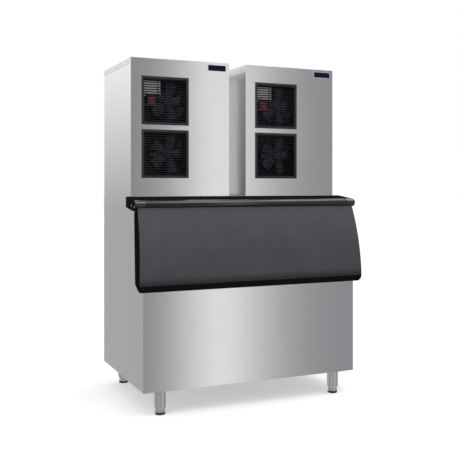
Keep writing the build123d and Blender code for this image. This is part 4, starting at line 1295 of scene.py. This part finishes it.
# %% [markdown]
# ## Room that the steel mirrors
# What the photograph shows on the steel is its studio: greys of several depths and one bright strip
# to the right of the front, whose reflection crosses the heads and the bin as a band. Cards and lamps
# could stand round the object, but a world whose brightness depends on the direction needs no meshes
# and can be tuned by degrees. The table gives a level for each compass direction.

# %% Levels round the room
room_strength = 2.0
cool_below = 0.45
cool_tint = 0.10
wall_levels = (
    (-180, 0.78), (-150, 0.66), (-120, 0.60), (-92, 0.34), (-60, 0.54), (0, 0.44), (17.4, 0.38),
    (19.2, 0.52), (21.0, 1.15), (22.6, 1.78), (23.8, 1.40), (25.4, 0.98), (27.2, 0.66), (29.5, 0.45),
    (33, 0.42), (60, 0.50), (92, 0.34), (120, 0.70), (148, 0.80), (156, 1.45), (164, 0.85),
)
sky = bpy.data.worlds.new("pale_room")
scene.world = sky
sky.use_nodes = True
room = sky.node_tree


def room_node(kind, *values, operation=None):
    """A node of the room, with its first inputs set or linked."""
    node = room.nodes.new(kind)
    if operation:
        node.operation = operation
    for index, value in enumerate(values):
        if hasattr(value, "node"):
            room.links.new(value, node.inputs[index])
        else:
            node.inputs[index].default_value = value
    return node


def room_math(operation, *values):
    """The result of a sum in the room's nodes."""
    return room_node("ShaderNodeMath", *values, operation=operation).outputs["Value"]


def room_range(value, *limits):
    """A value mapped from one range to another: from low, from high, to low, to high."""
    return room_node("ShaderNodeMapRange", value, *limits).outputs["Result"]


def at_azimuth(degrees):
    """The 0 to 1 value of a direction, counted from straight in front to the right."""
    return degrees / 360 + 0.5


ways = room_node("ShaderNodeTexCoord")
apart = room_node("ShaderNodeSeparateXYZ", ways.outputs["Generated"])
to_right, to_back, up = (apart.outputs[axis] for axis in "XYZ")
azimuth = room_math("ARCTAN2", to_right, room_math("MULTIPLY", to_back, -1.0))
turn_share = room_math("MULTIPLY_ADD", azimuth, 0.5 / math.pi, 0.5)
ramp = room_node("ShaderNodeValToRGB", turn_share)
stops = ramp.color_ramp.elements
for degrees, level in wall_levels[2:]:
    stops.new(at_azimuth(degrees))
for stop, (degrees, level) in zip(stops, wall_levels):
    half = level / room_strength
    cool = 1.0 + cool_tint * max(0.0, 1 - half / cool_below)
    stop.position = at_azimuth(degrees)
    stop.color = (half, half, half * cool, 1)
print("levels round the room:", len(stops))

# %% [markdown]
# ## Height, and what each kind of ray sees
# Behind on the left the wall gets lighter with height, for the left side sheets that mirror it.
# All round, the room is darker below and lighter high up, as under a ceiling. Mirrored rays see this
# room, and the camera sees plain white. Every other ray sees one even level, so that no direction
# lights the plastics more than another.

# %% Height and kinds of ray
even_level = 0.76
camera_level = 1.0


def room_mix(share, first, second, blend="MIX"):
    """A colour between two colours of the room, or their product."""
    node = room.nodes.new("ShaderNodeMix")
    node.data_type = "RGBA"
    node.blend_type = blend
    for socket, value in (("Factor", share), ("A", first), ("B", second)):
        if hasattr(value, "node"):
            room.links.new(value, node.inputs[socket])
        else:
            node.inputs[socket].default_value = value
    return node.outputs["Result"]


def grey(level):
    """The room's colour for a level of brightness."""
    return (*[level / room_strength] * 3, 1)


rear_left = room_math(
    "MULTIPLY", room_range(turn_share, at_azimuth(-176), at_azimuth(-168), 0.0, 1.0),
    room_range(turn_share, at_azimuth(-150), at_azimuth(-135), 1.0, 0.0),
)
walls = room_mix(rear_left, ramp.outputs["Color"], room_range(up, -0.03, 0.16, 0.29, 0.66))
height_share = room_math(
    "MULTIPLY", room_range(up, -0.62, -0.38, 0.55, 1.0), room_range(up, 0.45, 0.70, 1.0, 2.4)
)
shaded = room_mix(1.0, walls, height_share, "MULTIPLY")
rays = room_node("ShaderNodeLightPath")
seen = room_mix(rays.outputs["Is Glossy Ray"], grey(even_level), shaded)
seen = room_mix(rays.outputs["Is Camera Ray"], seen, grey(camera_level))
background = room.nodes["Background"]
room.links.new(seen, background.inputs["Color"])
background.inputs["Strength"].default_value = room_strength
print("room:", len(room.nodes), "nodes")

# %% [markdown]
# ## Lamps
# Two softboxes light what the even room leaves flat: a wide one above the front for the lids and the
# door, and one high on the left for the side sheets. Large faces keep the shadows soft. Each lamp's
# power follows from its size, so that a level means the same brightness on every softbox.

# %% Softboxes


def softbox(name, place, aim, size, level):
    """A rectangular lamp whose face has the given radiance, hidden from the camera."""
    data = bpy.data.lights.new(name, "AREA")
    data.shape = "RECTANGLE"
    data.size, data.size_y = size
    data.energy = level * math.pi * size[0] * size[1]
    lamp = bpy.data.objects.new(name, data)
    lamp.location = place
    lamp.rotation_euler = (Vector(place) - Vector(aim)).to_track_quat("Z", "Y").to_euler()
    lamp.visible_camera = False
    scene.collection.objects.link(lamp)
    print(name, round(data.energy, 1), "W")


softbox("ceiling_softbox", (1.3, -1.5, 3.9), (0.3, -0.4, 1.0), (4.2, 1.2), 2.4)
softbox("side_softbox", (-3.4, -2.2, 2.4), (0, 0, 0.9), (1.6, 2.0), 1.6)

# %% [markdown]
# ## Size of the dressed model
# The dressed model's box is printed.

# %% Size of the dressed model
low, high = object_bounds()
print("visual box:", [round(v, 3) for v in (*low, *high)])
